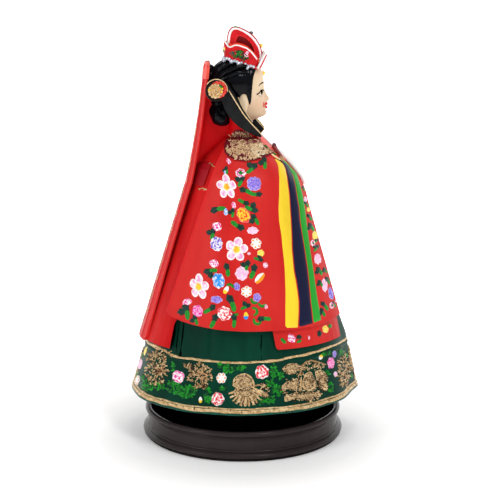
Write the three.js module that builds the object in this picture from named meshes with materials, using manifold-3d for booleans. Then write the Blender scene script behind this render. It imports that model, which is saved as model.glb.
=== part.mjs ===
// A bride figurine in court dress on a turning plinth. Millimetres, +Z up.
// The figure faces -Y and its right-hand side is -X. The origin is the centre of the flat underside.
import * as THREE from "three";
import { mergeVertices } from "three/addons/utils/BufferGeometryUtils.js";
import Module from "manifold-3d";

// Fits
const glueGap = 0.3;
const runningGap = 0.3;

// Plinth
const padThickness = 1.5;
const padRadius = 61;
const plinthHeight = 16;
const flangeRadius = 62.6;
const flangeHeight = 4.2;
const wallRadius = 59.6;
const beadRadius = 61.2;
const beadHeight = 3.2;
const rimWidth = 3.4;
const recessDepth = 1.3;

// Centre screw and foot
const shankRadius = 2.4;
const boreClearance = 0.4;
const screwHeadRadius = 5;
const screwHeadHeight = 3;
const washerRadius = 7.5;
const washerThickness = 1.2;
const counterboreDepth = 6;
const screwBite = 18;
const footRadius = 45;
const footFlare = 1.5;

// Skirt
const hemHeight = 27.5;
const hemReach = { front: 69.7, back: 69.7, side: 62 };
const hemRollHeight = 3;
const hemRollStep = 0.8;
const soleRise = 2.5;
const bandTopHeight = 57;
const bandStep = 0.5;
const tuckHeight = 62;
const pleatReach = 2.8;
const pleatSpread = 0.15;
const pleatEndHeight = 100;
const foldDepth = 0.7;
const foldCount = 12;

// Robe and sleeves: how far the outermost cloth reaches from the axis
const sleeveHemHeight = 76;
const chestHeight = 159;
const collarHeight = 188;
const gownReach = { front: 63.2, back: 60.6, side: 55.2 };
const chestReach = { front: 37.5, back: 34, side: 33.5 };
const neckReach = 9;
const shoulderBow = { front: 1.25, back: 1.7, side: 1.6 };
const sleeveWall = 2.7;
const patchThickness = 0.8;
const robeWall = 1.9;
const robeBackHem = 61;
const robeFrontHem = 65;
const sideSlitBack = -43.5;
const sideSlitFront = 19.5;
const underarmHeight = 150;
const robeOpening = 19.5;
const robeClosedHeight = 125;
const sleeveOpening = 17.5;
const wristHeight = 163;
const wristOpening = 5;

// Bodice inside the robe
const bodiceSpigot = 22;
const skirtTopHeight = 150;
const spigotWall = 6;
const neckRadius = 6.1;
const neckPegDepth = 7;

// Collar: it stands low at the throat and rises behind the neck
const collarFoot = { front: 13, rest: 9.8 };
const collarRim = { front: 7.8, side: 8.7, back: 9.4 };
const collarTopHeight = { front: 191.5, back: 198 };

// Belt and back ribbon
const beltBottom = 157.2;
const beltHeight = 13.2;
const beltThickness = 0.9;
const ribbonThickness = 2;
const ribbonTopHeight = 230;
const ribbonTopReach = 21.3;
const ribbonBow = 24.5;
const ribbonHalfWidth = { bottom: 20.5, top: 13 };
const ribbonStandoff = 0.6;
const ribbonFillHalfWidth = 5;

// Head
const chinHeight = 197;
const crownOfHead = 229;
const headBreadth = 12;
const noseReach = 2.5;
const noseTipHeight = 207.6;

// Hair: centre and half axes of the dressed hair
const hairCentre = { forward: -4.8, height: 216.6 };
const hairReach = { forward: 16.4, side: 14.3, up: 15.3 };
const knotCentre = { forward: -13.4, height: 198.8 };
const knotReach = { forward: 7, side: 9.5, up: 8 };
const plaitReach = { forward: 3.2, side: 4.5, up: 6.5 };
const plaitStandoff = 0.9;

// Hairpin
const pinForward = -14.3;
const pinHeight = 213.6;
const pinRadius = 1.3;
const knobReach = 24;
const knobRadius = 4.7;
const loopRadius = 6.4;
const loopWidth = 6;
const frontRibbonHalfWidth = { start: 6, end: 2.4 };
const frontRibbonThickness = 1.4;

// Crown, in its own tilted frame: u runs forward, v up from the foot of the band
const crownForward = -0.8;
const crownHeight = 228.4;
const crownTilt = 17;
const bandBreadth = 10.4;
const bandWall = 1.4;
const capBreadth = 7.4;
const capTop = 17.8;
const capEdge = 0.7;
const pocketDepth = 3.4;
const laceRadius = 1;
const beadSize = 0.9;
const greenBeadSetback = 6.6;

// Fineness of the round forms
const ringSides = 60;
const latheSides = 48;
const headSides = 30;
const hairColumns = 24;
const hairRows = 14;
const knotColumns = 18;
const knotRows = 10;

const wasm = await Module();
wasm.setup();

const up = (forward, height, right = 0) => new THREE.Vector3(-right, -forward, height);
const mix = THREE.MathUtils.lerp;

// A ring of points round the axis, counted from the front towards the figure's left.
function ring(sides, place) {
  return Array.from({ length: sides }, (_, i) => place((2 * Math.PI * i) / sides));
}

function volumeOf(positions, index) {
  const [a, b, c] = [new THREE.Vector3(), new THREE.Vector3(), new THREE.Vector3()];
  let total = 0;
  for (let i = 0; i < index.length; i += 3) {
    a.fromArray(positions, 3 * index[i]);
    b.fromArray(positions, 3 * index[i + 1]);
    c.fromArray(positions, 3 * index[i + 2]);
    total += a.dot(b.cross(c));
  }
  return total;
}

// Joins rings of equal length into one closed body. Closed at both ends, or joined last to first as a wall.
function loft(rings, wall = false) {
  const count = rings[0].length;
  const points = rings.flat();
  const index = [];
  const spans = wall ? rings.length : rings.length - 1;
  for (let r = 0; r < spans; r++) {
    const lower = r * count;
    const upper = ((r + 1) % rings.length) * count;
    for (let i = 0; i < count; i++) {
      const next = (i + 1) % count;
      index.push(lower + i, lower + next, upper + next, lower + i, upper + next, upper + i);
    }
  }
  if (!wall) {
    for (const [start, turned] of [[0, true], [(rings.length - 1) * count, false]]) {
      const centre = new THREE.Vector3();
      for (let i = 0; i < count; i++) centre.addScaledVector(points[start + i], 1 / count);
      points.push(centre);
      for (let i = 0; i < count; i++) {
        const pair = [start + i, start + ((i + 1) % count)];
        index.push(points.length - 1, ...(turned ? pair.reverse() : pair));
      }
    }
  }
  const positions = points.flatMap((point) => point.toArray());
  if (volumeOf(positions, index) < 0) index.reverse();
  return new THREE.BufferGeometry()
    .setAttribute("position", new THREE.Float32BufferAttribute(positions, 3))
    .setIndex(index);
}

function solid(geometry) {
  const bare = geometry.clone();
  bare.deleteAttribute("normal");
  bare.deleteAttribute("uv");
  const merged = mergeVertices(bare, 1e-4);
  return new wasm.Manifold(
    new wasm.Mesh({
      numProp: 3,
      vertProperties: new Float32Array(merged.attributes.position.array),
      triVerts: new Uint32Array(merged.index.array),
    }),
  );
}

function geometryOf(made) {
  const mesh = made.getMesh();
  return new THREE.BufferGeometry()
    .setAttribute("position", new THREE.Float32BufferAttribute(mesh.vertProperties, 3))
    .setIndex(new THREE.Uint32BufferAttribute(mesh.triVerts, 1));
}

// The largest of the separate lumps that a cut can leave.
function largest(made) {
  return made.decompose().reduce((a, b) => (a.volume() > b.volume() ? a : b));
}

// The same body on the other side of the figure.
function mirrored(geometry) {
  const other = geometry.index ? geometry.clone() : mergeVertices(geometry.clone().deleteAttribute("uv"));
  other.applyMatrix4(new THREE.Matrix4().makeScale(-1, 1, 1));
  other.setIndex(Array.from(other.index.array).reverse());
  return other;
}

// A closed outline: a pair is a corner, four numbers are a curve's control point and its end.
function outline(points) {
  const shape = new THREE.Shape();
  shape.moveTo(...points[0]);
  for (const point of points.slice(1)) {
    if (point.length === 2) shape.lineTo(...point);
    else shape.quadraticCurveTo(...point);
  }
  return shape;
}

// A pattern drawn in side view, (forward, height), cut through the figure from one reach to another on its right.
function sidePattern(points, near, far) {
  const options = { depth: far - near, bevelEnabled: false, curveSegments: 4 };
  const cut = new THREE.ExtrudeGeometry(outline(points), options);
  const turn = new THREE.Matrix4().makeBasis(up(1, 0), up(0, 1), up(0, 0, 1));
  return solid(cut.applyMatrix4(turn).translate(-near, 0, 0));
}

// A pattern drawn in front view, (left, height), cut forward through the figure.
function frontPattern(points, near, far) {
  const cut = new THREE.ExtrudeGeometry(outline(points), { depth: far - near, bevelEnabled: false });
  const turn = new THREE.Matrix4().makeBasis(up(0, 0, -1), up(0, 1), up(1, 0));
  return solid(cut.applyMatrix4(turn).translate(0, -near, 0));
}

function turned(profile, sides = latheSides) {
  const points = profile.map(([radius, height]) => new THREE.Vector2(radius, height));
  return new THREE.LatheGeometry(points, sides).rotateX(Math.PI / 2);
}

// Reach of the outermost cloth in one direction at a height.
function gown(height, direction) {
  if (height <= chestHeight) {
    const share = (height - sleeveHemHeight) / (chestHeight - sleeveHemHeight);
    return mix(gownReach[direction], chestReach[direction], share);
  }
  const rise = Math.min(1, (height - chestHeight) / (collarHeight - chestHeight));
  return neckReach + (chestReach[direction] - neckReach) * (1 - rise ** shoulderBow[direction]);
}

function ellipseRing(height, reach, sides = ringSides, relief = () => 0) {
  return ring(sides, (angle) => {
    const deep = Math.cos(angle) > 0 ? reach.front : reach.back;
    const extra = relief(angle);
    return up((deep + extra) * Math.cos(angle), height, -(reach.side + extra) * Math.sin(angle));
  });
}

function gownReachAt(height, inset) {
  return {
    front: gown(height, "front") - inset,
    back: gown(height, "back") - inset,
    side: gown(height, "side") - inset,
  };
}

const shoulderLevels = [0, 0.25, 0.5, 0.7, 0.87].map((share) => mix(chestHeight, collarHeight, share));
const robeInset = sleeveWall + glueGap;
const bodiceInset = robeInset + robeWall + glueGap;

// A garment shell between two insets from the outermost cloth, from its hem to the collar.
function garment(hem, inset, wall) {
  const levels = [hem, ...shoulderLevels];
  const outer = levels.map((height) => ellipseRing(height, gownReachAt(height, inset)));
  const inner = levels.map((height) => ellipseRing(height, gownReachAt(height, inset + wall)));
  return solid(loft([...outer, ...inner.reverse()], true));
}

const plinthTop = padThickness + plinthHeight;
const recessFloor = plinthTop - recessDepth;
const footBottom = recessFloor + runningGap;
const soleHeight = hemHeight + soleRise;
const shoulderOfBore = padThickness + counterboreDepth;
const boreRadius = shankRadius + boreClearance;

function feltPad() {
  return turned([[0, 0], [padRadius, 0], [padRadius, padThickness], [0, padThickness]]);
}

function plinth() {
  const base = padThickness;
  const flangeTop = base + flangeHeight;
  const beadBottom = plinthTop - beadHeight;
  const coveRadius = wallRadius - 1;
  const counterboreRadius = washerRadius + boreClearance;
  return turned([
    [counterboreRadius, base],
    [flangeRadius, base],
    [flangeRadius, flangeTop - 1.4],
    [wallRadius + 0.4, flangeTop],
    [wallRadius + 0.9, flangeTop + 0.7],
    [wallRadius + 0.1, flangeTop + 1.5],
    [wallRadius, beadBottom - 0.5],
    [coveRadius, beadBottom],
    [beadRadius - 0.3, beadBottom + 1],
    [beadRadius, beadBottom + beadHeight / 2],
    [beadRadius - 1.2, plinthTop],
    [beadRadius - rimWidth, plinthTop - 0.3],
    [beadRadius - rimWidth - 0.4, recessFloor],
    [boreRadius, recessFloor],
    [boreRadius, shoulderOfBore],
    [counterboreRadius, shoulderOfBore],
    [counterboreRadius, base],
  ]);
}

const washerBottom = shoulderOfBore - washerThickness - runningGap;

function pivotWasher() {
  const top = washerBottom + washerThickness;
  const bore = shankRadius + glueGap;
  const sides = 24;
  return turned([[bore, washerBottom], [washerRadius, washerBottom], [washerRadius, top], [bore, top],
    [bore, washerBottom]], sides);
}

function pivotScrew() {
  const headTop = washerBottom - glueGap;
  const headBottom = Math.max(headTop - screwHeadHeight, padThickness + runningGap);
  const tip = soleHeight + screwBite;
  const sides = 24;
  return turned([
    [0, headBottom],
    [screwHeadRadius - 1, headBottom],
    [screwHeadRadius, headBottom + 1],
    [screwHeadRadius, headTop],
    [shankRadius, headTop],
    [shankRadius, tip - shankRadius],
    [0, tip],
  ], sides);
}

function foot() {
  const bore = shankRadius + glueGap;
  return turned([
    [bore, footBottom],
    [footRadius, footBottom],
    [footRadius, footBottom + 1.5],
    [footRadius - footFlare, (footBottom + soleHeight) / 2],
    [footRadius, soleHeight - glueGap],
    [bore, soleHeight - glueGap],
    [bore, footBottom],
  ]);
}

// Reach of the skirt: its own flare below the tuck, and a fixed depth under the robe above it.
function skirtReachAt(height) {
  const tuck = gownReachAt(tuckHeight, bodiceInset);
  if (height >= tuckHeight) return gownReachAt(height, bodiceInset);
  const share = (height - hemHeight) / (tuckHeight - hemHeight);
  return {
    front: mix(hemReach.front, tuck.front, share),
    back: mix(hemReach.back, tuck.back, share),
    side: mix(hemReach.side, tuck.side, share),
  };
}

// Relief of the skirt: soft folds that die out at the tuck, one tall pleat at the front, the hem roll and the band.
function skirtRelief(height, step) {
  const foldShare = THREE.MathUtils.clamp((tuckHeight - height) / (tuckHeight - hemHeight), 0, 1);
  const pleatShare = THREE.MathUtils.clamp((pleatEndHeight - height) / (pleatEndHeight - tuckHeight), 0, 1);
  return (angle) => {
    const fromFront = Math.min(angle, 2 * Math.PI - angle);
    const fold = foldDepth * foldShare * 0.5 * (Math.cos(foldCount * angle) - 1);
    const pleat = pleatReach * pleatShare * Math.exp(-((fromFront / pleatSpread) ** 2));
    return fold + pleat + step;
  };
}

function skirt() {
  const at = (height, step = 0, shrink = 0) => {
    const reach = skirtReachAt(height);
    const inner = { front: reach.front - shrink, back: reach.back - shrink, side: reach.side - shrink };
    return ellipseRing(height, inner, ringSides, skirtRelief(height, step));
  };
  const rollTop = hemHeight + hemRollHeight;
  const body = loft([
    at(soleHeight, 0, 4),
    at(hemHeight, 0, 3),
    at(hemHeight, 0, 0.5),
    at(hemHeight + 0.6, 0),
    at(rollTop - 0.5, 0),
    at(rollTop, -hemRollStep),
    at(bandTopHeight - 0.5, -hemRollStep),
    at(bandTopHeight, -hemRollStep + bandStep),
    at(bandTopHeight + 1, -hemRollStep + bandStep),
    at(bandTopHeight + 1.5, -hemRollStep),
    at(tuckHeight + 1, -hemRollStep / 2),
    at(pleatEndHeight, 0),
    at(skirtTopHeight, 0),
  ]);
  const screwHole = turned([
    [0, soleHeight - 5],
    [shankRadius + glueGap, soleHeight - 5],
    [shankRadius + glueGap, soleHeight + screwBite + glueGap],
    [0, soleHeight + screwBite + glueGap],
  ], 24);
  const socket = bodiceSocket(glueGap);
  return geometryOf(solid(body).subtract(solid(screwHole)).subtract(solid(socket)));
}

// The spigot under the bodice, and, grown by the gap, the socket in the skirt that it is glued into.
function bodiceSocket(grown) {
  const reach = gownReachAt(skirtTopHeight, bodiceInset + spigotWall - grown);
  return loft([
    ellipseRing(skirtTopHeight - bodiceSpigot - grown, reach, ringSides / 2),
    ellipseRing(skirtTopHeight + 2 * glueGap, reach, ringSides / 2),
  ]);
}

function bodice() {
  const base = skirtTopHeight + glueGap;
  const levels = [base, ...shoulderLevels];
  const trunk = loft(levels.map((height) => ellipseRing(height, gownReachAt(height, bodiceInset), ringSides / 2)));
  const top = levels[levels.length - 1];
  const neckHole = turned([
    [0, top - neckPegDepth],
    [neckRadius + glueGap, top - neckPegDepth],
    [neckRadius + glueGap, top + 1],
    [0, top + 1],
  ], 24);
  return geometryOf(solid(trunk).add(solid(bodiceSocket(0))).subtract(solid(neckHole)));
}

const robeTop = shoulderLevels[shoulderLevels.length - 1] + 1;
const farOut = 90;

function robeBack(shell) {
  const armpit = -6;
  const panel = [
    [-farOut, robeBackHem - 1],
    [sideSlitBack, robeBackHem - 1],
    [sideSlitBack + 3, sleeveHemHeight],
    [armpit, underarmHeight],
    [armpit, robeTop],
    [-farOut, robeTop],
  ];
  return geometryOf(shell.intersect(sidePattern(panel, -farOut, farOut)));
}

function robeFront(shell) {
  const armpit = -6 + glueGap;
  const corner = 2.5;
  const panel = [
    [farOut, robeFrontHem],
    [sideSlitFront + corner, robeFrontHem],
    [sideSlitFront, robeFrontHem, sideSlitFront - 0.3, robeFrontHem + corner],
    [sideSlitFront - 2, sleeveHemHeight],
    [armpit + 8, underarmHeight - 20],
    [armpit, underarmHeight],
    [armpit, robeTop],
    [farOut, robeTop],
  ];
  const opening = [
    [farOut, robeFrontHem - 1],
    [farOut, robeTop],
    [glueGap, robeTop],
    [glueGap, robeClosedHeight],
    [robeOpening, robeFrontHem - 1],
  ].map(([left, height]) => [-left, height]);
  return geometryOf(shell.intersect(sidePattern(panel, 0, farOut)).intersect(frontPattern(opening, -farOut, farOut)));
}

// One sleeve cut from its shell. Grown by the gap, it is the room that the hand cloth leaves for it.
function sleeve(shell, grown = 0) {
  const hem = sleeveHemHeight;
  const panel = [
    [-46, hem + 9],
    [-46.5, hem + 4.5, -41, hem + 3.5],
    [-20, hem, 0, hem],
    [40, hem],
    [52, hem, 58, hem + 1.5],
    [farOut, hem + 3],
    [farOut, robeTop],
    [-7, robeTop],
    [-16, 170],
    [-30.6, 128],
  ];
  const opening = [
    [farOut, hem - 1],
    [farOut, robeTop],
    [wristOpening + 4 - grown, robeTop],
    [wristOpening - grown, wristHeight],
    [wristOpening + 6 - grown, wristHeight - 16],
    [sleeveOpening - grown, hem - 1],
  ].map(([left, height]) => [-left, height]);
  return geometryOf(shell.intersect(sidePattern(panel, 0, farOut)).intersect(frontPattern(opening, -farOut, farOut)));
}

// The gold shoulder piece, a pointed leaf that lies on the sleeve's shoulder.
function shoulderPatch() {
  const shell = garment(chestHeight - 1, -glueGap - patchThickness, patchThickness);
  const leaf = [
    [-11, 180],
    [-11.5, 173.2, 1, 172.6],
    [10, 172.6, 19.5, 176.8],
    [11, 179.5, 10.4, robeTop],
    [-8, robeTop],
    [-10.8, 184, -11, 180],
  ];
  return geometryOf(shell.intersect(sidePattern(leaf, 2, farOut)));
}

function beltBack() {
  const shell = garment(beltBottom, robeInset - glueGap - beltThickness, beltThickness);
  const beltTop = beltBottom + beltHeight;
  const band = [
    [-farOut, beltBottom],
    [-23.5, beltBottom],
    [-18.5, beltTop],
    [-farOut, beltTop],
  ];
  return geometryOf(shell.intersect(sidePattern(band, -farOut, farOut)));
}

// Reach of the ribbon's inner face behind the axis: along the robe up to the shoulder, then straight up to the hair.
function ribbonReach(height) {
  const lean = THREE.MathUtils.clamp((height - robeBackHem) / (chestHeight - robeBackHem), 0, 1);
  const onRobe = gown(Math.min(height, chestHeight), "back") - robeInset + ribbonStandoff + lean;
  if (height <= chestHeight) return onRobe;
  const share = (height - chestHeight) / (ribbonTopHeight - chestHeight);
  return (1 - share) ** 2 * onRobe + 2 * share * (1 - share) * ribbonBow + share ** 2 * ribbonTopReach;
}

// The ribbon's back is filled out towards the robe, the neck and the hair, and leaves them their room.
function ribbonFill() {
  const bottom = chestHeight + 2;
  const top = ribbonTopHeight - 4;
  const steps = 6;
  const behind = Array.from({ length: steps + 1 }, (_, i) => {
    const height = mix(bottom, top, i / steps);
    return [-ribbonReach(height) - 0.3 * ribbonThickness, height];
  });
  const front = collarFoot.rest + glueGap;
  const fill = [
    ...behind,
    [-hairReach.forward, top],
    [-front, collarTopHeight.back],
    [-front, robeTop],
    [-gown(bottom, "back") / 2, bottom],
  ];
  const belted = gownRoom(robeInset - 2 * glueGap - beltThickness);
  const knot = ellipsoid(knotCentre, grownReach(knotReach, glueGap), knotColumns, knotRows);
  const dressed = hairMass(glueGap).add(solid(knot));
  const trimmed = sidePattern(fill, -ribbonFillHalfWidth, ribbonFillHalfWidth)
    .subtract(belted)
    .subtract(dressed)
    .subtract(collarRoom());
  return largest(trimmed);
}

function backRibbon() {
  const columns = 6;
  const levels = [
    ...[robeBackHem, 80, 105, 132, chestHeight - 8, chestHeight, 168, 178, 192, 208, 220],
    ...[ribbonTopHeight - 2, ribbonTopHeight],
  ];
  const rings = levels.map((height) => {
    const share = (height - robeBackHem) / (ribbonTopHeight - robeBackHem);
    const rounded = height >= ribbonTopHeight ? 0.6 : 0;
    const half = mix(ribbonHalfWidth.bottom, ribbonHalfWidth.top, share) - 2 * rounded;
    const flatness = THREE.MathUtils.clamp((height - 62) / (chestHeight - 62), 0, 1);
    const round = mix(gown(robeBackHem, "side") - robeInset, 2.2 * half, flatness);
    const inner = ribbonReach(height);
    const edge = (reach, across) => reach * mix(1, Math.sqrt(1 - (across / round) ** 2), mix(1, 0.8, flatness));
    const row = (reach, order) => order.map((i) => {
      const across = half * (1 - (2 * i) / columns);
      return up(-edge(reach, across), height, across);
    });
    const forwards = Array.from({ length: columns + 1 }, (_, i) => i);
    return [
      ...row(inner + rounded, forwards),
      ...row(inner + ribbonThickness - rounded, [...forwards].reverse()),
    ];
  });
  return geometryOf(solid(loft(rings)).add(ribbonFill()));
}

// Skull, face and neck: height, forward reach, backward reach, half breadth
function headStations(grown) {
  const b = headBreadth;
  return [
    [collarHeight - neckPegDepth, neckRadius, neckRadius, neckRadius],
    [collarHeight + 2, neckRadius, neckRadius, neckRadius],
    [chinHeight - 1.4, neckRadius + 0.5, neckRadius + 0.2, neckRadius + 0.1],
    [chinHeight, 9.5, 6.8, 0.58 * b],
    [chinHeight + 1.2, 12.2, 7.2, 0.68 * b],
    [chinHeight + 3, 13, 7.8, 0.78 * b],
    [chinHeight + 5, 13, 8.6, 0.86 * b],
    [chinHeight + 8, 13.3, 9.6, 0.93 * b],
    [chinHeight + 10.6, 13.4, 10.4, 0.97 * b],
    [chinHeight + 13, 13.1, 11, 0.99 * b],
    [chinHeight + 16.5, 12.5, 11.4, b],
    [chinHeight + 20, 12.7, 11.4, b],
    [chinHeight + 24, 12, 10.8, 0.96 * b],
    [chinHeight + 27.5, 10, 9.2, 0.84 * b],
    [crownOfHead - 1.6, 7, 6.5, 0.58 * b],
    [crownOfHead + grown, 3, 3, 0.25 * b],
  ].map(([height, front, back, side]) => [height, front + grown, back + grown, side + grown]);
}

// The nose and lips stand proud of the face near its middle.
function faceRelief(height, angle) {
  const across = Math.min(angle, 2 * Math.PI - angle);
  const bridge = noseTipHeight + 8;
  const under = noseTipHeight - 2;
  const rise = height > noseTipHeight
    ? Math.max(0, (bridge - height) / (bridge - noseTipHeight))
    : Math.max(0, (height - under) / (noseTipHeight - under));
  const nose = noseReach * rise ** 1.4 * Math.exp(-((across / 0.17) ** 2));
  const lips = 1.1 * Math.exp(-(((height - chinHeight - 6) / 1.4) ** 2) - (across / 0.26) ** 2);
  return nose + lips;
}

function headBody(grown) {
  const levels = headStations(grown);
  levels.splice(8, 0, [chinHeight + 9.2, 13.4 + grown, 10 + grown, 0.95 * headBreadth + grown]);
  const crowd = 0.35;
  const rings = levels.map(([height, front, back, side]) =>
    ring(headSides, (turn) => {
      const angle = turn - crowd * Math.sin(turn);
      const deep = Math.cos(angle) > 0 ? front + faceRelief(height, angle) : back;
      return up(deep * Math.cos(angle), height, -side * Math.sin(angle));
    }),
  );
  return loft(rings);
}

// The bead lies on the brow a little under the hairline.
function foreheadSeat() {
  const height = chinHeight + 25.7;
  const stations = headStations(0);
  const above = stations.findIndex(([level]) => level > height);
  const [low, high] = [stations[above - 1], stations[above]];
  const brow = mix(low[1], high[1], (height - low[0]) / (high[0] - low[0]));
  return up(brow + beadSize + glueGap, height);
}

function ear(grown) {
  const shape = new THREE.SphereGeometry(1, 8, 6).scale(1.6 + grown, 3 + grown, 4.8 + grown);
  return solid(shape.translate(-headBreadth + 0.4, 0.4, chinHeight + 7.8));
}

function earPair(grown) {
  const right = ear(grown);
  const left = solid(mirrored(geometryOf(right)));
  return right.add(left);
}

function head() {
  return geometryOf(solid(headBody(0)).add(earPair(0)).subtract(crownSeat()));
}

function headRoom() {
  return solid(headBody(glueGap)).add(earPair(glueGap));
}

function ellipsoid(centre, reach, columns, rows) {
  const shape = new THREE.SphereGeometry(1, columns, rows).rotateX(Math.PI / 2);
  shape.scale(reach.side, reach.forward, reach.up);
  return shape.translate(0, -centre.forward, centre.height);
}

function pinBore(radius) {
  const bar = new THREE.CylinderGeometry(radius, radius, 2 * knobReach, 12).rotateZ(Math.PI / 2);
  return bar.translate(0, -pinForward, pinHeight);
}

function grownReach(reach, grown) {
  return { forward: reach.forward + grown, side: reach.side + grown, up: reach.up + grown };
}

// The dressed hair and its two plaits behind the crown.
function hairMass(grown) {
  const mass = solid(ellipsoid(hairCentre, grownReach(hairReach, grown), hairColumns, hairRows));
  const plaitHeight = hairCentre.height + plaitReach.side;
  const behind = ribbonReach(plaitHeight) - plaitStandoff - plaitReach.forward;
  const plaits = [-1, 1].map((side) => {
    const lump = ellipsoid({ forward: -behind, height: plaitHeight }, grownReach(plaitReach, grown), 10, 8);
    return solid(lump.translate(side * plaitReach.side, 0, 0));
  });
  return mass.add(plaits[0]).add(plaits[1]);
}

function hair(room) {
  const hairline = [
    [8.6, 240],
    [8.2, 226.6],
    [5, 220, 4.6, 214],
    [4.4, 204.3],
    [3.4, 206, 3.2, 210.6],
    [0, 212, -3, 208],
    [-4, 203],
    [-30, 203],
    [-30, 240],
  ];
  return geometryOf(
    hairMass(0)
      .intersect(sidePattern(hairline, -farOut, farOut))
      .subtract(room)
      .subtract(solid(pinBore(pinRadius + glueGap)))
      .subtract(crownSeat()),
  );
}

function chignon(room) {
  const knot = solid(ellipsoid(knotCentre, knotReach, knotColumns, knotRows));
  const above = solid(ellipsoid(hairCentre, grownReach(hairReach, glueGap), hairColumns, hairRows));
  return geometryOf(largest(knot.subtract(above).subtract(room).subtract(collarRoom())));
}

function hairpinBar() {
  return pinBore(pinRadius);
}

// A gold flower knob: a domed button with lobes, seated on the end of the pin.
function hairpinKnob() {
  const lobes = 8;
  const sides = 24;
  const lobe = (angle) => 1 + 0.06 * Math.cos(lobes * angle);
  const profile = [[0.55, 0.3], [1, 0.9], [0.98, 2], [0.75, 3.1], [0.4, 3.7]];
  const rings = profile.map(([share, out]) =>
    ring(sides, (angle) => {
      const reach = share * knobRadius * lobe(angle);
      return up(pinForward + reach * Math.cos(angle), pinHeight + reach * Math.sin(angle), knobReach + out);
    }),
  );
  return loft(rings);
}

// The turn of black ribbon round the pin behind the knob.
function ribbonLoop() {
  const wall = 1.2;
  const inner = loopRadius - wall;
  const bore = pinRadius + glueGap;
  const loop = turned([
    [bore, 0],
    [loopRadius, 0],
    [loopRadius, loopWidth],
    [inner, loopWidth],
    [inner, wall],
    [bore, wall],
    [bore, 0],
  ], 24);
  loop.rotateY(-Math.PI / 2);
  return loop.translate(-(knobReach + 0.3 - loopWidth), -pinForward, pinHeight);
}

// A flat strip swept along a line: each station gives the middle, the half width direction and the face direction.
function strip(stations, thickness) {
  return loft(stations.map(({ middle, half, face }) => {
    const out = face.clone().setLength(thickness / 2);
    return [
      middle.clone().add(half).add(out),
      middle.clone().sub(half).add(out),
      middle.clone().sub(half).sub(out),
      middle.clone().add(half).sub(out),
    ];
  }));
}

// The space inside one inset of the cloth, from the chest to the collar.
function gownRoom(inset) {
  return solid(loft(shoulderLevels.map((height) => ellipseRing(height, gownReachAt(height, inset)))));
}

function loopRoom() {
  const disc = new THREE.CylinderGeometry(loopRadius + glueGap, loopRadius + glueGap, 20, 24);
  return solid(disc.rotateZ(Math.PI / 2).translate(-knobReach, -pinForward, pinHeight));
}

function frontRibbon(blocked) {
  const path = new THREE.CatmullRomCurve3([
    up(pinForward + 3.8, pinHeight, knobReach - 4.5),
    up(-4, chinHeight + 7, headBreadth + 5.5),
    up(3.5, chinHeight - 1.3, headBreadth + 3.5),
    up(8, collarHeight + 1.4, headBreadth + 0.8),
    up(12.6, collarHeight - 2.8, headBreadth - 1.5),
  ]);
  const steps = 14;
  const stations = Array.from({ length: steps + 1 }, (_, i) => {
    const share = i / steps;
    const along = path.getTangent(share);
    const face = up(0.5 * share, 0.5 * share ** 2, 1).normalize();
    const across = new THREE.Vector3().crossVectors(face, along).normalize();
    const halfWidth = mix(frontRibbonHalfWidth.start, frontRibbonHalfWidth.end, share ** 1.6);
    return { middle: path.getPoint(share), half: across.multiplyScalar(halfWidth), face };
  });
  const shoulders = gownRoom(-2 * glueGap - patchThickness);
  const band = solid(strip(stations, frontRibbonThickness));
  return geometryOf(largest(band.subtract(blocked).subtract(shoulders).subtract(loopRoom()).subtract(collarRoom())));
}

const collarBottom = shoulderLevels[shoulderLevels.length - 1] + glueGap;

// Outer faces of the collar from its foot to its rim.
function collarFaces(grown) {
  const sides = 28;
  const slant = (angle) => (1 - Math.cos(angle)) / 2;
  const face = (share) =>
    ring(sides, (angle) => {
      const height = mix(collarBottom, mix(collarTopHeight.front, collarTopHeight.back, slant(angle)), share);
      const deep = Math.cos(angle) > 0
        ? mix(collarFoot.front, collarRim.front, Math.sqrt(share))
        : mix(collarFoot.rest, collarRim.back, share);
      const wide = mix(collarFoot.rest, collarRim.side, share);
      const lift = 2 * grown * (share - 0.5);
      return up((deep + grown) * Math.cos(angle), height + lift, -(wide + grown) * Math.sin(angle));
    });
  return [0, 0.3, 0.6, 1].map(face);
}

function collarRoom() {
  return solid(loft(collarFaces(glueGap)));
}

// The red collar round the neck, bored out for the neck and hollowed under the chin and the back of the head.
function collar(room) {
  return geometryOf(solid(loft(collarFaces(0))).subtract(room));
}

// White cloth over the joined hands, a rounded apron that hangs in the opening of the sleeves.
function handCloth() {
  const levels = [
    [151, 4.4, 1],
    [155, 6.2, 2],
    [161, 7.4, 2.7],
    [168, 7, 2.7],
    [174, 5.4, 2],
    [178, 3.4, 1],
  ];
  const rings = levels.map(([height, half, swell]) => {
    const face = gown(height, "front");
    return ring(16, (angle) => {
      const across = half * Math.sin(angle);
      const depth = Math.cos(angle) > 0 ? swell * Math.cos(angle) : 1.8 * Math.cos(angle);
      return up(face + depth - 0.4, height, -across);
    });
  });
  const room = sleeve(garment(sleeveHemHeight - 2, -glueGap, sleeveWall + 2 * glueGap), glueGap);
  return geometryOf(solid(loft(rings)).subtract(solid(room)).subtract(solid(mirrored(room))));
}

// Crown frame: u forward, v up from the foot of the band, w to the figure's right.
const tilt = THREE.MathUtils.degToRad(crownTilt);
function crownPoint(u, v, w) {
  return up(
    crownForward + u * Math.cos(tilt) + v * Math.sin(tilt),
    crownHeight - u * Math.sin(tilt) + v * Math.cos(tilt),
    w,
  );
}

const bandFoot = { front: 10.6, back: 10.6 };
const bandRim = { front: 12, back: 13.8 };
const bandHeight = 9.6;
const frontWallHeight = 11;

// The band's upper edge in side view: shares of its half length and of its height. It dips behind the peak at
// the back, swells along the side and drops to the corner where the tall front wall begins.
const bandEdge = [
  [-1, 1.03],
  [-0.9, 0.78],
  [-0.6, 0.97],
  [-0.38, 1],
  [0, 0.98],
  [0.28, 0.87],
  [0.52, 0.72],
  [0.93, 0.42],
];

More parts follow.
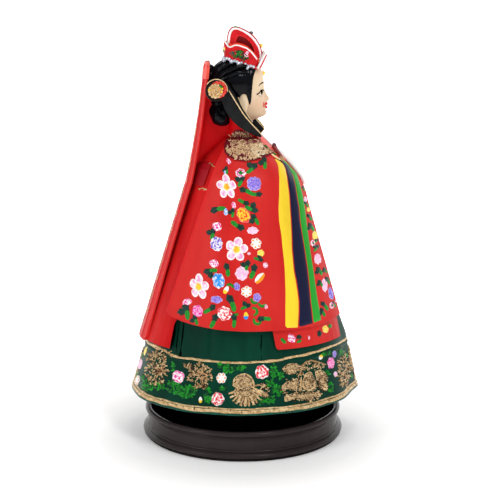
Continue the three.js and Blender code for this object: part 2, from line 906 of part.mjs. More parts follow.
function bandHeightAt(share) {
  const [corner, drop] = bandEdge[bandEdge.length - 1];
  if (share >= 0.96) return frontWallHeight;
  if (share >= corner) return bandHeight * drop;
  const after = Math.max(1, bandEdge.findIndex(([place]) => place > share));
  const [[low, from], [high, to]] = [bandEdge[after - 1], bandEdge[after]];
  return bandHeight * mix(from, to, (share - low) / (high - low));
}

// One ring of the band, squarish in plan. The height is one value or follows the band's upper edge.
function bandRing(height, front, back, side) {
  const squareness = 0.45;
  return ring(40, (angle) => {
    const c = Math.cos(angle);
    const s = Math.sin(angle);
    const share = Math.sign(c) * Math.abs(c) ** squareness;
    const w = Math.sign(s) * Math.abs(s) ** squareness * side;
    const v = typeof height === "function" ? height(share) : height;
    return crownPoint(share * (c > 0 ? front : back), v, -w);
  });
}

function crownBand() {
  const flare = 0.6;
  return loft([
    bandRing(0, bandFoot.front, bandFoot.back, bandBreadth),
    bandRing(bandHeightAt, bandRim.front, bandRim.back, bandBreadth + flare),
    bandRing(bandHeightAt, bandRim.front - bandWall, bandRim.back - bandWall, bandBreadth + flare - bandWall),
    bandRing(0, bandFoot.front - bandWall, bandFoot.back - bandWall, bandBreadth - bandWall),
  ], true);
}

// The head and hair are cut flat where the crown and its lace sit.
const seatLevel = -2 * (laceRadius + glueGap);

function crownSeat() {
  const reach = 16;
  const height = 20;
  return solid(loft([bandRing(seatLevel, reach, reach, reach), bandRing(height, reach, reach, reach)]));
}

function crownPanel(points, near, far) {
  const shape = outline(points);
  const plate = new THREE.ExtrudeGeometry(shape, { depth: far - near, bevelEnabled: false, curveSegments: 6 });
  const origin = crownPoint(0, 0, near);
  const turn = new THREE.Matrix4().makeBasis(
    crownPoint(1, 0, near).sub(origin),
    crownPoint(0, 1, near).sub(origin),
    crownPoint(0, 0, near + 1).sub(origin),
  );
  turn.setPosition(origin);
  return solid(plate.applyMatrix4(turn));
}

// The front of the cap's arch in side view, drawn out by the strap's edge.
function archFront(grown) {
  return new THREE.QuadraticBezierCurve(
    new THREE.Vector2(-2, capTop + grown),
    new THREE.Vector2(6.4 + grown, capTop - 1.6),
    new THREE.Vector2(8.5 + grown, 8.8),
  );
}

// The cap inside the band: an arched box with a deep pocket in each side and a beaded strap over it.
function crownCap() {
  const arch = (grown) => {
    const front = archFront(grown);
    return [
      [-7.2 - grown, foot],
      [-10.4 - grown, bandHeight],
      [-11.4 - grown, capTop - 3],
      [-11.4 - grown, capTop + grown, -9, capTop + grown],
      front.v0.toArray(),
      [...front.v1.toArray(), ...front.v2.toArray()],
      [7.2 + grown, foot],
    ];
  };
  const foot = seatLevel + glueGap;
  const pocket = [
    [-6.9, 10.4],
    [-7.2, 15.2, -4.6, 15.5],
    [2.6, 15, 5.6, 8.6],
    [-0.8, 10.8, -6.9, 10.4],
  ];
  const box = crownPanel(arch(0), -capBreadth, capBreadth);
  const strap = crownPanel(arch(capEdge), -capBreadth + 1.5, capBreadth - 1.5);
  return geometryOf(
    box
      .add(strap)
      .subtract(crownPanel(pocket, capBreadth - pocketDepth, capBreadth + 1))
      .subtract(crownPanel(pocket, -capBreadth - 1, -capBreadth + pocketDepth)),
  );
}

function crownLace() {
  const radius = laceRadius;
  const steps = [[0, 1], [1, 0], [0, -1], [-1, 0]];
  const rings = steps.map(([out, rise]) =>
    bandRing(
      -glueGap - radius + radius * rise,
      bandFoot.front + radius * out,
      bandFoot.back + radius * out,
      bandBreadth + radius * out,
    ),
  );
  return loft(rings, true);
}

function bead() {
  return new THREE.SphereGeometry(beadSize, 8, 6);
}

// Where a bead sits on the strap: at a share of the arch's front curve, or behind it on the flat top.
function strapSeat(share, behind = 0) {
  const curve = archFront(capEdge);
  const point = curve.getPoint(share);
  const along = curve.getTangent(share);
  const lift = beadSize + glueGap;
  return crownPoint(point.x - behind - along.y * lift, point.y + along.x * lift, 0);
}

const group = new THREE.Group();
const figure = new THREE.Group();
group.add(figure);

function add(parent, name, geometry, color, roughness, metalness = 0) {
  const material = new THREE.MeshStandardMaterial({ color, roughness, metalness });
  const mesh = new THREE.Mesh(geometry, material);
  mesh.name = name;
  parent.add(mesh);
  return mesh;
}

function addPair(name, geometry, color, roughness, metalness = 0) {
  add(figure, `${name}_right`, geometry, color, roughness, metalness);
  add(figure, `${name}_left`, mirrored(geometry), color, roughness, metalness);
}

const robeRed = 0xda322d;
const deepRed = 0x8c1016;
const skirtGreen = 0x05412d;
const black = 0x0c0d10;
const gold = 0xc8a569;
const skin = 0xebcda5;
const white = 0xf2efe8;

add(group, "felt_pad", feltPad(), 0xc9b98f, 0.95);
add(group, "plinth", plinth(), 0x3c3230, 0.3);

add(figure, "pivot_washer", pivotWasher(), 0xb0b0b0, 0.4, 0.9);
add(figure, "pivot_screw", pivotScrew(), 0xb0b0b0, 0.4, 0.9);
add(figure, "foot", foot(), black, 0.6);
add(figure, "skirt", skirt(), skirtGreen, 0.35);
add(figure, "bodice", bodice(), skirtGreen, 0.5);

const robeShell = garment(robeBackHem, robeInset, robeWall);
add(figure, "robe_back", robeBack(robeShell), robeRed, 0.45);
addPair("robe_front", robeFront(robeShell), robeRed, 0.45);
const sleeveShell = garment(sleeveHemHeight - 2, 0, sleeveWall);
addPair("sleeve", sleeve(sleeveShell), robeRed, 0.45);
addPair("shoulder_patch", shoulderPatch(), gold, 0.5, 0.5);
add(figure, "belt_back", beltBack(), deepRed, 0.45);
add(figure, "back_ribbon", backRibbon(), robeRed, 0.4);
add(figure, "hand_cloth", handCloth(), white, 0.5);

const room = headRoom();
add(figure, "collar", collar(room), deepRed, 0.45);
add(figure, "head", head(), skin, 0.4);
add(figure, "hair", hair(room), black, 0.2);
add(figure, "chignon", chignon(room), black, 0.2);
add(figure, "hairpin_bar", hairpinBar(), gold, 0.4, 0.6);
addPair("hairpin_knob", hairpinKnob(), gold, 0.4, 0.6);
addPair("ribbon_loop", ribbonLoop(), black, 0.5);
addPair("front_ribbon", frontRibbon(room), black, 0.5);

add(figure, "crown_band", crownBand(), 0xc8202a, 0.4);
add(figure, "crown_cap", crownCap(), 0xc8202a, 0.4);
add(figure, "crown_lace", crownLace(), 0xd8dade, 0.3, 0.4);
const beadRows = [
  ["crown_bead_green", strapSeat(0, greenBeadSetback), 0x128a3a],
  ["crown_bead_dark", strapSeat(0.12), 0x1a1420],
  ["crown_bead_yellow", strapSeat(0.72), 0xe8c23a],
  ["forehead_bead", foreheadSeat(), 0xf0c83c],
];
for (const [name, place, color] of beadRows) {
  add(figure, name, bead(), color, 0.3).position.copy(place);
}

export default group;
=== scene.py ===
import math
import random

import bmesh
import bpy
from mathutils import Matrix, Vector, noise
from mathutils.bvhtree import BVHTree


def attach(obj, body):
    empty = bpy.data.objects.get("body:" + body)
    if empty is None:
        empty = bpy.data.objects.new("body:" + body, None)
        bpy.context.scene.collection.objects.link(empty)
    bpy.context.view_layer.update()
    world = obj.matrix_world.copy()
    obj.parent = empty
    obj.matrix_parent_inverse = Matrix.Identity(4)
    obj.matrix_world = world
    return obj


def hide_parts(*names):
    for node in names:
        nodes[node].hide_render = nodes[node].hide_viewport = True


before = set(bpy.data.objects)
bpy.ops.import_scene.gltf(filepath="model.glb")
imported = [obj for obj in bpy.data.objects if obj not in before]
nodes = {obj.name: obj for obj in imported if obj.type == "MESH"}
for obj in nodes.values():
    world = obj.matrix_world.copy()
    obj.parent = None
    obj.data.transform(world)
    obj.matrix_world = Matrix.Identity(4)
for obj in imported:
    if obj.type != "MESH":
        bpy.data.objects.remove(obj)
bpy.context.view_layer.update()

# Lengths are written in millimetres and become metres when a piece is made
# Picture points (px, py) are places in the photograph, brought to 500 by 500 pixels
MM = 0.001
SEED = 11
rng = random.Random(SEED)


def up(forward, height, right=0.0):
    """A point by its distance forward, its height and its distance to the figure's right."""
    return Vector((-right, -forward, height))


def mix(a, b, share):
    return a + (b - a) * share


def clamp(value, low=0.0, high=1.0):
    return max(low, min(high, value))


def bent(value, power):
    """A power that keeps the sign."""
    return math.copysign(abs(value) ** power, value)


def full_turn(count):
    """Angles spread evenly over one turn."""
    return [2 * math.pi * k / count for k in range(count)]


def table(points, x):
    """Straight-line reading of a list of (x, y)."""
    if x <= points[0][0]:
        return points[0][1]
    for (x0, y0), (x1, y1) in zip(points, points[1:]):
        if x <= x1:
            return mix(y0, y1, (x - x0) / (x1 - x0))
    return points[-1][1]


def eased(points, x):
    """The same reading with a smooth curve through the points."""
    if x <= points[0][0]:
        return points[0][1]
    last = len(points) - 1
    for i in range(last):
        (x0, y0), (x1, y1) = points[i], points[i + 1]
        if x > x1:
            continue
        before, after = points[max(0, i - 1)], points[min(last, i + 2)]
        t = (x - x0) / (x1 - x0)
        m0 = (y1 - before[1]) / (x1 - before[0]) * (x1 - x0)
        m1 = (after[1] - y0) / (after[0] - x0) * (x1 - x0)
        return (
            (2 * t**3 - 3 * t**2 + 1) * y0
            + (t**3 - 2 * t**2 + t) * m0
            + (3 * t**2 - 2 * t**3) * y1
            + (t**3 - t**2) * m1
        )
    return points[-1][1]


def srgb(r, g, b):
    """A colour of a picture as linear light."""
    def linear(v):
        c = v / 255
        return c / 12.92 if c <= 0.04045 else ((c + 0.055) / 1.055) ** 2.4

    return (linear(r), linear(g), linear(b), 1.0)


def tone(a, b, share):
    return tuple(mix(x, y, clamp(share)) for x, y in zip(a, b))


# Camera: from the figure's right and a little above it, as in the photograph
eye = Vector((-720, 0, 248))
pitch = math.radians(10.5)
focal_px = 1186
picture_px = 500
axis_px = 242.6
sensor_mm = 36
look = Vector((math.cos(pitch), 0, -math.sin(pitch)))
view_up = Vector((math.sin(pitch), 0, math.cos(pitch)))
view_right = Vector((0, -1, 0))

camera_data = bpy.data.cameras.new("camera")
camera_data.sensor_width = sensor_mm
camera_data.lens = sensor_mm * focal_px / picture_px
camera_data.shift_x = (picture_px / 2 - axis_px) / picture_px
camera_data.clip_start = 0.05
camera_data.clip_end = 20
camera = bpy.data.objects.new("camera", camera_data)
camera.location = eye * MM
camera.rotation_mode = "QUATERNION"
camera.rotation_quaternion = look.to_track_quat("-Z", "Y")
bpy.context.scene.collection.objects.link(camera)
bpy.context.scene.camera = camera


def sight(px, py):
    """The line of sight through a picture point."""
    middle = picture_px / 2
    return (look * focal_px + view_right * (px - axis_px) + view_up * (middle - py)).normalized()


# Colours
RED = srgb(214, 38, 34)
DEEP_RED = srgb(176, 14, 22)
MAROON = srgb(88, 12, 22)
CORAL = srgb(238, 84, 70)
GREEN = srgb(6, 62, 44)
TEAL = srgb(0, 86, 70)
GOLD = srgb(200, 164, 112)
PALE_GOLD = srgb(236, 208, 160)
DARK_GOLD = srgb(128, 84, 50)
WHITE = srgb(250, 246, 244)
PINK = srgb(242, 176, 214)
MAGENTA = srgb(232, 36, 156)
YELLOW = srgb(250, 208, 52)
ORANGE = srgb(250, 150, 26)
PURPLE = srgb(112, 84, 204)
LILAC = srgb(170, 150, 226)
BLUE = srgb(30, 144, 234)
LEAF = srgb(8, 122, 26)
BRIGHT_LEAF = srgb(34, 148, 44)
DARK_LEAF = srgb(6, 38, 32)
NAVY = srgb(12, 16, 52)
STRIPE_GREEN = srgb(36, 156, 44)
SKIN = srgb(221, 197, 165)
BLUSH = srgb(214, 150, 130)
BLACK = srgb(14, 14, 18)
CHARCOAL = srgb(36, 37, 40)
SILVER = srgb(205, 210, 220)


class Work:
    """Corners, faces and tints gathered for one piece."""

    def __init__(self):
        self.corners, self.faces, self.tints = [], [], []

    def add(self, corners, faces, tints):
        base = len(self.corners)
        self.corners += corners
        self.faces += [tuple(i + base for i in face) for face in faces]
        self.tints += tints if isinstance(tints, list) else [tints] * len(corners)


def make(name, work, material, body="figure", slot=None, stands_for=(), sharp=50, bevel=0.0, turn_out=True):
    """One piece of the scene on its body, in place of the CAD nodes that it stands for; its slot is not
    used.
    """
    mesh = bpy.data.meshes.new(name)
    mesh.from_pydata([corner * MM for corner in work.corners], [], work.faces)
    if turn_out:
        shell = bmesh.new()
        shell.from_mesh(mesh)
        bmesh.ops.recalc_face_normals(shell, faces=shell.faces)
        shell.to_mesh(mesh)
        shell.free()
    layer = mesh.color_attributes.new("Tint", "FLOAT_COLOR", "POINT")
    layer.data.foreach_set("color", [part for tint in work.tints for part in tint])
    mesh.polygons.foreach_set("use_smooth", [True] * len(mesh.polygons))
    if sharp:
        mesh.set_sharp_from_angle(angle=math.radians(sharp))
    mesh.materials.append(material)
    made = bpy.data.objects.new(name, mesh)
    bpy.context.scene.collection.objects.link(made)
    if bevel:
        rounding = made.modifiers.new("rounding", "BEVEL")
        rounding.width = bevel * MM
        rounding.segments = 3
        rounding.limit_method = "ANGLE"
        rounding.angle_limit = math.radians(45)
        rounding.harden_normals = False
    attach(made, body)
    if stands_for:
        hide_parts(*stands_for)
    return made


# Options of a thin coat of paint: its faces keep their own direction, and all its corners are soft
PAINTED = {"turn_out": False, "sharp": 0}


def other_side(work):
    """The same piece on the figure's left."""
    flipped = Work()
    corners = [Vector((-c.x, c.y, c.z)) for c in work.corners]
    flipped.add(corners, [tuple(reversed(face)) for face in work.faces], list(work.tints))
    return flipped


def make_pair(name, work, material, node=None, **options):
    """The piece on the figure's right, which the picture shows, and its mirror image on the left."""
    for side, part in (("right", work), ("left", other_side(work))):
        stands_for = (f"{node}_{side}",) if node else ()
        make(f"{name}_{side}", part, material, stands_for=stands_for, **options)


def grid_faces(rows, columns, ring=False):
    faces = []
    for r in range(rows - 1):
        for c in range(columns if ring else columns - 1):
            after = (c + 1) % columns
            here, above = r * columns, (r + 1) * columns
            faces.append((here + c, here + after, above + after, above + c))
    return faces


def sheet(work, rows, tint):
    """An open skin through rows of corners."""
    columns = len(rows[0])
    work.add([corner for row in rows for corner in row], grid_faces(len(rows), columns), tint)


def slab(work, outer, inner, tint):
    """A closed slab between two skins of equal rows and columns."""
    rows, columns = len(outer), len(outer[0])
    count = rows * columns
    faces = grid_faces(rows, columns)
    faces += [tuple(reversed([i + count for i in face])) for face in grid_faces(rows, columns)]
    rim = list(range(columns))
    rim += [r * columns + columns - 1 for r in range(1, rows)]
    rim += [(rows - 1) * columns + c for c in range(columns - 2, -1, -1)]
    rim += [r * columns for r in range(rows - 2, 0, -1)]
    for a, b in zip(rim, rim[1:] + rim[:1]):
        faces.append((b, a, a + count, b + count))
    corners = [corner for row in outer for corner in row] + [corner for row in inner for corner in row]
    work.add(corners, faces, tint)


def loft(work, rings, tint, closed=True):
    """A closed body through rings of corners."""
    rows, columns = len(rings), len(rings[0])
    corners = [corner for ring in rings for corner in ring]
    faces = grid_faces(rows, columns, ring=True)
    if closed:
        faces.append(tuple(range(columns - 1, -1, -1)))
        faces.append(tuple(range((rows - 1) * columns, rows * columns)))
    work.add(corners, faces, tint)


def cord(work, points, radius, tint, sides=8, ring=False, flat=1.0):
    """A round bead of paint or thread along a line."""
    rings = []
    last = len(points) - 1
    side = None
    for i, point in enumerate(points):
        before = points[(i - 1) % len(points)] if ring else points[max(0, i - 1)]
        after = points[(i + 1) % len(points)] if ring else points[min(last, i + 1)]
        along = (after - before).normalized()
        if side is None:
            side = along.orthogonal().normalized()
        side = (side - along * side.dot(along)).normalized()
        over = along.cross(side)
        size = radius(i / max(1, last)) if callable(radius) else radius
        rings.append(
            [point + (side * math.cos(a) + over * math.sin(a) * flat) * size for a in full_turn(sides)]
        )
    if ring:
        rings.append(list(rings[0]))
        nearest = min(range(sides), key=lambda k: (rings[-2][0] - rings[0][k]).length)
        rings[-1] = rings[0][nearest:] + rings[0][:nearest]
    loft(work, rings, tint, closed=not ring)


def bead(work, centre, radius, tint, columns=12, rows=8, scale=(1, 1, 1), turn=None):
    rings = []
    for r in range(rows + 1):
        tall = math.pi * (r / rows - 0.5)
        ring = []
        reach = max(math.cos(tall), 0.02)
        for a in full_turn(columns):
            at = Vector(
                (reach * math.cos(a) * scale[0], reach * math.sin(a) * scale[1], math.sin(tall) * scale[2])
            )
            ring.append(centre + (turn @ at if turn else at) * radius)
        rings.append(ring)
    loft(work, rings, tint)


def flowing(points, steps):
    """A smooth line through points."""
    out = []
    last = len(points) - 1
    for i in range(last):
        a, b = points[i], points[i + 1]
        before, after = points[max(0, i - 1)], points[min(last, i + 2)]
        for k in range(steps):
            t = k / steps
            m0, m1 = (b - before) / 2, (after - a) / 2
            curve = a * (2 * t**3 - 3 * t**2 + 1) + m0 * (t**3 - 2 * t**2 + t)
            out.append(curve + b * (3 * t**2 - 2 * t**3) + m1 * (t**3 - t**2))
    out.append(points[-1].copy())
    return out


# Materials
# Sockets of a colour mix node, and how far the gloss wavers round its middle value
MIX_FIRST, MIX_SECOND, MIX_RESULT = 6, 7, 2
UNEVEN_GLOSS = 0.09


def finish_of(
    name,
    colour,
    other,
    rough=0.4,
    patch=60,
    grain=900,
    bump=0.25,
    stretch=(1, 1, 1),
    tinted=False,
    specks=None,
    coat=0.0,
    metallic=0.0,
    shine=0.2,
    subsurface=0.0,
):
    """Painted resin: uneven colour, brush grain and gloss, and specks (tint, size, low, high) if any."""
    material = bpy.data.materials.new(name)
    material.use_nodes = True
    tree = material.node_tree
    shader = tree.nodes["Principled BSDF"]
    link = tree.links.new

    def add(kind, **values):
        node = tree.nodes.new(kind)
        for key, value in values.items():
            node.inputs[key].default_value = value
        return node

    place = add("ShaderNodeTexCoord")
    spread = add("ShaderNodeMapping", Scale=stretch)
    link(place.outputs["Object"], spread.inputs["Vector"])
    cloud = add("ShaderNodeTexNoise", Scale=patch, Detail=5, Roughness=0.6)
    fine = add("ShaderNodeTexNoise", Scale=grain, Detail=3, Roughness=0.65)
    link(spread.outputs["Vector"], cloud.inputs["Vector"])
    link(spread.outputs["Vector"], fine.inputs["Vector"])
    ramp = add("ShaderNodeMapRange")
    ramp.inputs["From Min"].default_value = 0.35
    ramp.inputs["From Max"].default_value = 0.68
    link(cloud.outputs["Fac"], ramp.inputs["Value"])
    blend = tree.nodes.new("ShaderNodeMix")
    blend.data_type = "RGBA"
    blend.inputs[MIX_FIRST].default_value = colour
    blend.inputs[MIX_SECOND].default_value = other
    link(ramp.outputs["Result"], blend.inputs["Factor"])
    result = blend.outputs[MIX_RESULT]
    if tinted:
        tint = tree.nodes.new("ShaderNodeAttribute")
        tint.attribute_name = "Tint"
        shade = tree.nodes.new("ShaderNodeMix")
        shade.data_type = "RGBA"
        shade.blend_type = "MULTIPLY"
        shade.inputs["Factor"].default_value = 1.0
        link(tint.outputs["Color"], shade.inputs[MIX_FIRST])
        link(blend.outputs[MIX_RESULT], shade.inputs[MIX_SECOND])
        result = shade.outputs[MIX_RESULT]
    if specks:
        tint_of, size, low, high = specks
        dots = add("ShaderNodeTexNoise", Scale=size, Detail=2, Roughness=0.5)
        link(spread.outputs["Vector"], dots.inputs["Vector"])
        cut = add("ShaderNodeMapRange")
        cut.inputs["From Min"].default_value = low
        cut.inputs["From Max"].default_value = high
        link(dots.outputs["Fac"], cut.inputs["Value"])
        over = tree.nodes.new("ShaderNodeMix")
        over.data_type = "RGBA"
        link(cut.outputs["Result"], over.inputs["Factor"])
        link(result, over.inputs[MIX_FIRST])
        over.inputs[MIX_SECOND].default_value = tint_of
        result = over.outputs[MIX_RESULT]
    link(result, shader.inputs["Base Color"])
    gloss = add("ShaderNodeMapRange")
    gloss.inputs["To Min"].default_value = max(0.03, rough - UNEVEN_GLOSS)
    gloss.inputs["To Max"].default_value = min(1.0, rough + UNEVEN_GLOSS)
    link(fine.outputs["Fac"], gloss.inputs["Value"])
    link(gloss.outputs["Result"], shader.inputs["Roughness"])
    relief = add("ShaderNodeBump", Strength=bump, Distance=0.0003)
    link(fine.outputs["Fac"], relief.inputs["Height"])
    link(relief.outputs["Normal"], shader.inputs["Normal"])
    shader.inputs["Coat Weight"].default_value = coat
    shader.inputs["Metallic"].default_value = metallic
    shader.inputs["Specular IOR Level"].default_value = shine
    if subsurface:
        shader.inputs["Subsurface Weight"].default_value = subsurface
        shader.inputs["Subsurface Scale"].default_value = 0.002
    return material


PLAIN = (1, 1, 1, 1)
SOFT = (0.86, 0.86, 0.86, 1)
felt_finish = finish_of(
    "felt", srgb(30, 27, 26), srgb(48, 43, 41), rough=0.95, grain=2600, bump=0.8, shine=0.05
)
plinth_finish = finish_of(
    "plinth lacquer", srgb(45, 38, 39), srgb(58, 49, 49), rough=0.2, patch=25, grain=500, bump=0.05,
    shine=0.1
)
black_finish = finish_of("black paint", srgb(3, 3, 3), srgb(6, 6, 7), rough=0.9, shine=0.0)
steel_finish = finish_of("steel", srgb(150, 152, 155), srgb(175, 176, 180), rough=0.35, metallic=1.0)
skirt_finish = finish_of(
    "skirt paint", srgb(1, 44, 32), srgb(5, 60, 44), rough=0.4, patch=45, stretch=(1, 1, 0.25), grain=700,
    bump=0.15, shine=0.06
)
red_finish = finish_of("robe paint", srgb(186, 24, 23), srgb(204, 42, 37), rough=0.42, patch=34,
                       stretch=(1, 1, 0.3), grain=800, bump=0.22, shine=0.14)
# The robe's back in a slightly deeper red than the sleeves: partly its own colour, partly painted shade
# between ribbon and sleeves
robe_back_shaded_finish = finish_of("robe back red and shade", srgb(178, 12, 18), srgb(200, 32, 30), rough=0.42, patch=50,
                        stretch=(1, 1, 0.18), grain=800, bump=0.25, shine=0.06)
deep_finish = finish_of("deep red paint", srgb(188, 3, 12), srgb(204, 18, 22), rough=0.42, patch=50,
                        stretch=(1, 1, 0.18), grain=800, bump=0.25, shine=0.05)
ribbon_finish = finish_of("ribbon paint", srgb(182, 12, 20), srgb(206, 34, 34), rough=0.4, patch=50,
                          stretch=(1, 1, 0.15), grain=700, bump=0.22, shine=0.05)
thread_finish = finish_of(
    "brush colours", PLAIN, SOFT, rough=0.36, patch=500, grain=1500, bump=0.35, tinted=True
)
stripe_finish = finish_of(
    "stripe colours", PLAIN, srgb(232, 232, 232), rough=0.4, patch=60, stretch=(1, 1, 0.2), grain=900,
    bump=0.25, tinted=True
)
gold_finish = finish_of(
    "gold paint", PLAIN, srgb(214, 206, 196), rough=0.38, patch=420, grain=1500, bump=0.6, tinted=True,
    metallic=0.25, specks=(srgb(96, 62, 34), 900, 0.60, 0.66)
)
lace_finish = finish_of("lace gold", PLAIN, srgb(214, 206, 196), rough=0.4, patch=420, grain=1500, bump=0.6,
                        tinted=True, metallic=0.2)
belt_finish = finish_of("belt paint", srgb(138, 2, 16), srgb(160, 8, 22), rough=0.5, patch=120, bump=0.3)
maroon_finish = finish_of(
    "maroon paint", srgb(76, 4, 18), srgb(112, 12, 28), rough=0.5, patch=300, bump=0.5
)
skin_finish = finish_of(
    "skin paint", PLAIN, srgb(248, 244, 240), rough=0.42, patch=90, grain=1500, bump=0.12, tinted=True,
    subsurface=0.08
)
hair_finish = finish_of("hair lacquer", srgb(4, 4, 7), srgb(10, 11, 17), rough=0.1, patch=160,
                        stretch=(1, 0.35, 0.7), grain=420, bump=0.35, shine=0.1)
charcoal_finish = finish_of(
    "black ribbon paint", srgb(13, 14, 15), srgb(23, 24, 25), rough=0.5, patch=200, shine=0.1
)
# Black without gloss, for painted shade in the skirt's creases and under the skirt
shade_black_finish = finish_of("painted shade black", srgb(2, 2, 2), srgb(5, 5, 5), rough=0.95, shine=0.0)
white_finish = finish_of("white paint", srgb(246, 243, 240), srgb(226, 222, 218), rough=0.4, patch=120)
crown_finish = finish_of(
    "crown colours", PLAIN, srgb(224, 220, 220), rough=0.32, patch=260, grain=1200, bump=0.3, tinted=True,
    shine=0.12
)
silver_finish = finish_of(
    "silver bead paint", srgb(225, 228, 236), srgb(150, 158, 176), rough=0.22, patch=800, metallic=0.35
)


# The figure's cloth as in the CAD: reach of the outermost cloth at a height
GOWN = {"front": 63.2, "back": 60.6, "side": 55.2}
CHEST = {"front": 37.5, "back": 34.0, "side": 33.5}
BOW = {"front": 1.25, "back": 1.7, "side": 1.6}
HEM_HEIGHT, CHEST_HEIGHT, COLLAR_HEIGHT, NECK_REACH = 76.0, 159.0, 188.0, 9.0


def gown(height, direction):
    """Reach of the outermost cloth in one direction."""
    if height <= CHEST_HEIGHT:
        share = (height - HEM_HEIGHT) / (CHEST_HEIGHT - HEM_HEIGHT)
        return mix(GOWN[direction], CHEST[direction], share)
    rise = min(1.0, (height - CHEST_HEIGHT) / (COLLAR_HEIGHT - CHEST_HEIGHT))
    return NECK_REACH + (CHEST[direction] - NECK_REACH) * (1 - rise ** BOW[direction])


# The breast stands back a little from that shape, so that the white cloth over the hands shows past it
BREAST_HOLLOW = [
    (150, 0), (153, 0.2), (158, 1.1), (161, 1.9), (164, 2.3), (167, 2.0), (171, 1.6), (176, 1.9),
    (180, 2.1), (184, 1.0), (187, 0)
]


def nearer(phi):
    return "front" if math.cos(phi) > 0 else "back"


def cloth(phi, height, inset=0.0):
    """phi is 0 at the front and grows towards the figure's right."""
    inset += table(BREAST_HOLLOW, height) * clamp((0.95 - abs(math.remainder(phi, 2 * math.pi))) / 0.5)
    deep = gown(height, nearer(phi)) - inset
    side = gown(height, "side") - inset
    return up(deep * math.cos(phi), height, side * math.sin(phi))


def tree_of(work):
    return BVHTree.FromPolygons(work.corners, work.faces)


def work_of(*names):
    """Corners and faces of CAD nodes."""
    work = Work()
    for name in names:
        mesh = nodes[name].data
        faces = [tuple(face.vertices) for face in mesh.polygons]
        work.add([vertex.co / MM for vertex in mesh.vertices], faces, BLACK)
    return work


def facing(normal, ray):
    return normal if normal.dot(ray) < 0 else -normal


def seen(tree):
    """Places a point of the picture on a surface."""

    def place(px, py):
        ray = sight(px, py)
        hit = tree.ray_cast(eye, ray)
        return (hit[0], facing(hit[1], ray)) if hit[0] else None

    return place


# Farther from the axis than any piece
OUTSIDE = 150


def around(tree, phi, height):
    """Places a point near an angle and height on a surface, in millimetres from there."""
    outward = up(math.cos(phi), 0, math.sin(phi))
    across = up(-math.sin(phi), 0, math.cos(phi))

    def place(x, y):
        start = outward * OUTSIDE + across * x + up(0, height - y)
        hit = tree.ray_cast(start, -outward)
        return (hit[0], facing(hit[1], -outward)) if hit[0] else None

    return place


def settle(place, cx, cy, x, y):
    """A miss past the edge is drawn back towards the middle."""
    for share in (1, 0.9, 0.8, 0.65, 0.5, 0.3, 0.1, 0):
        hit = place(cx + x * share, cy - y * share)
        if hit:
            return hit
    return None


# Outlines of embroidered motifs by angle, and their tints by t from middle to edge, angle a and speck s
def petals(count, depth):
    return lambda a: 1 - depth + depth * abs(math.cos(count * a / 2)) ** 0.7


def plum_tint(t, a, s):
    reach = t * petals(5, 0.42)(a)
    if reach < 0.30:
        return tone(YELLOW, ORANGE, 0.35 + s * 0.8)
    if reach < 0.37 or t > 0.84 or abs(math.cos(2.5 * a)) < 0.3:
        return WHITE
    return tone(PINK, MAGENTA if s > 0.25 else WHITE, 0.35 if s > 0.25 else 0.25 - s)


def swirl_tint(first, second, edge, bands=3, twist=13):
    def tint(t, a, s):
        if t > 0.88:
            return edge
        return first if math.sin(twist * t + 1.7 * math.sin(bands * a) + 3.4 * s) > -0.1 else second

    return tint


def cloud_tint(first, second, edge, bias=0.0):
    def tint(t, a, s):
        if t > 0.86:
            return edge
        return tone(first, second, 0.5 + 2.2 * s + bias)

    return tint


def dotted_tint(t, a, s):
    step = math.pi / 3
    near = (a + step / 2) % step - step / 2
    x, y = t * math.cos(near) - 0.66, t * math.sin(near)
    return ORANGE if math.hypot(x, y) < 0.17 else tone(WHITE, SILVER, 0.2 + s * 0.3)


def halves_tint(top, bottom):
    return lambda t, a, s: top if t * math.sin(a) > 0.05 + 0.2 * s else bottom


def centred_tint(middle, ring, edge):
    return lambda t, a, s: middle if t < 0.42 + 0.1 * s else (ring if (t < 0.75 and s > -0.2) else edge)


def oval(depth=0.05, lobes=9):
    return lambda a: 1 - depth + depth * math.cos(lobes * a)


def pointed(a):
    return 0.62 + 0.38 * abs(math.cos(a)) ** 2.2


def drop(a):
    return 0.70 + 0.30 * max(0.0, math.sin(a)) ** 3


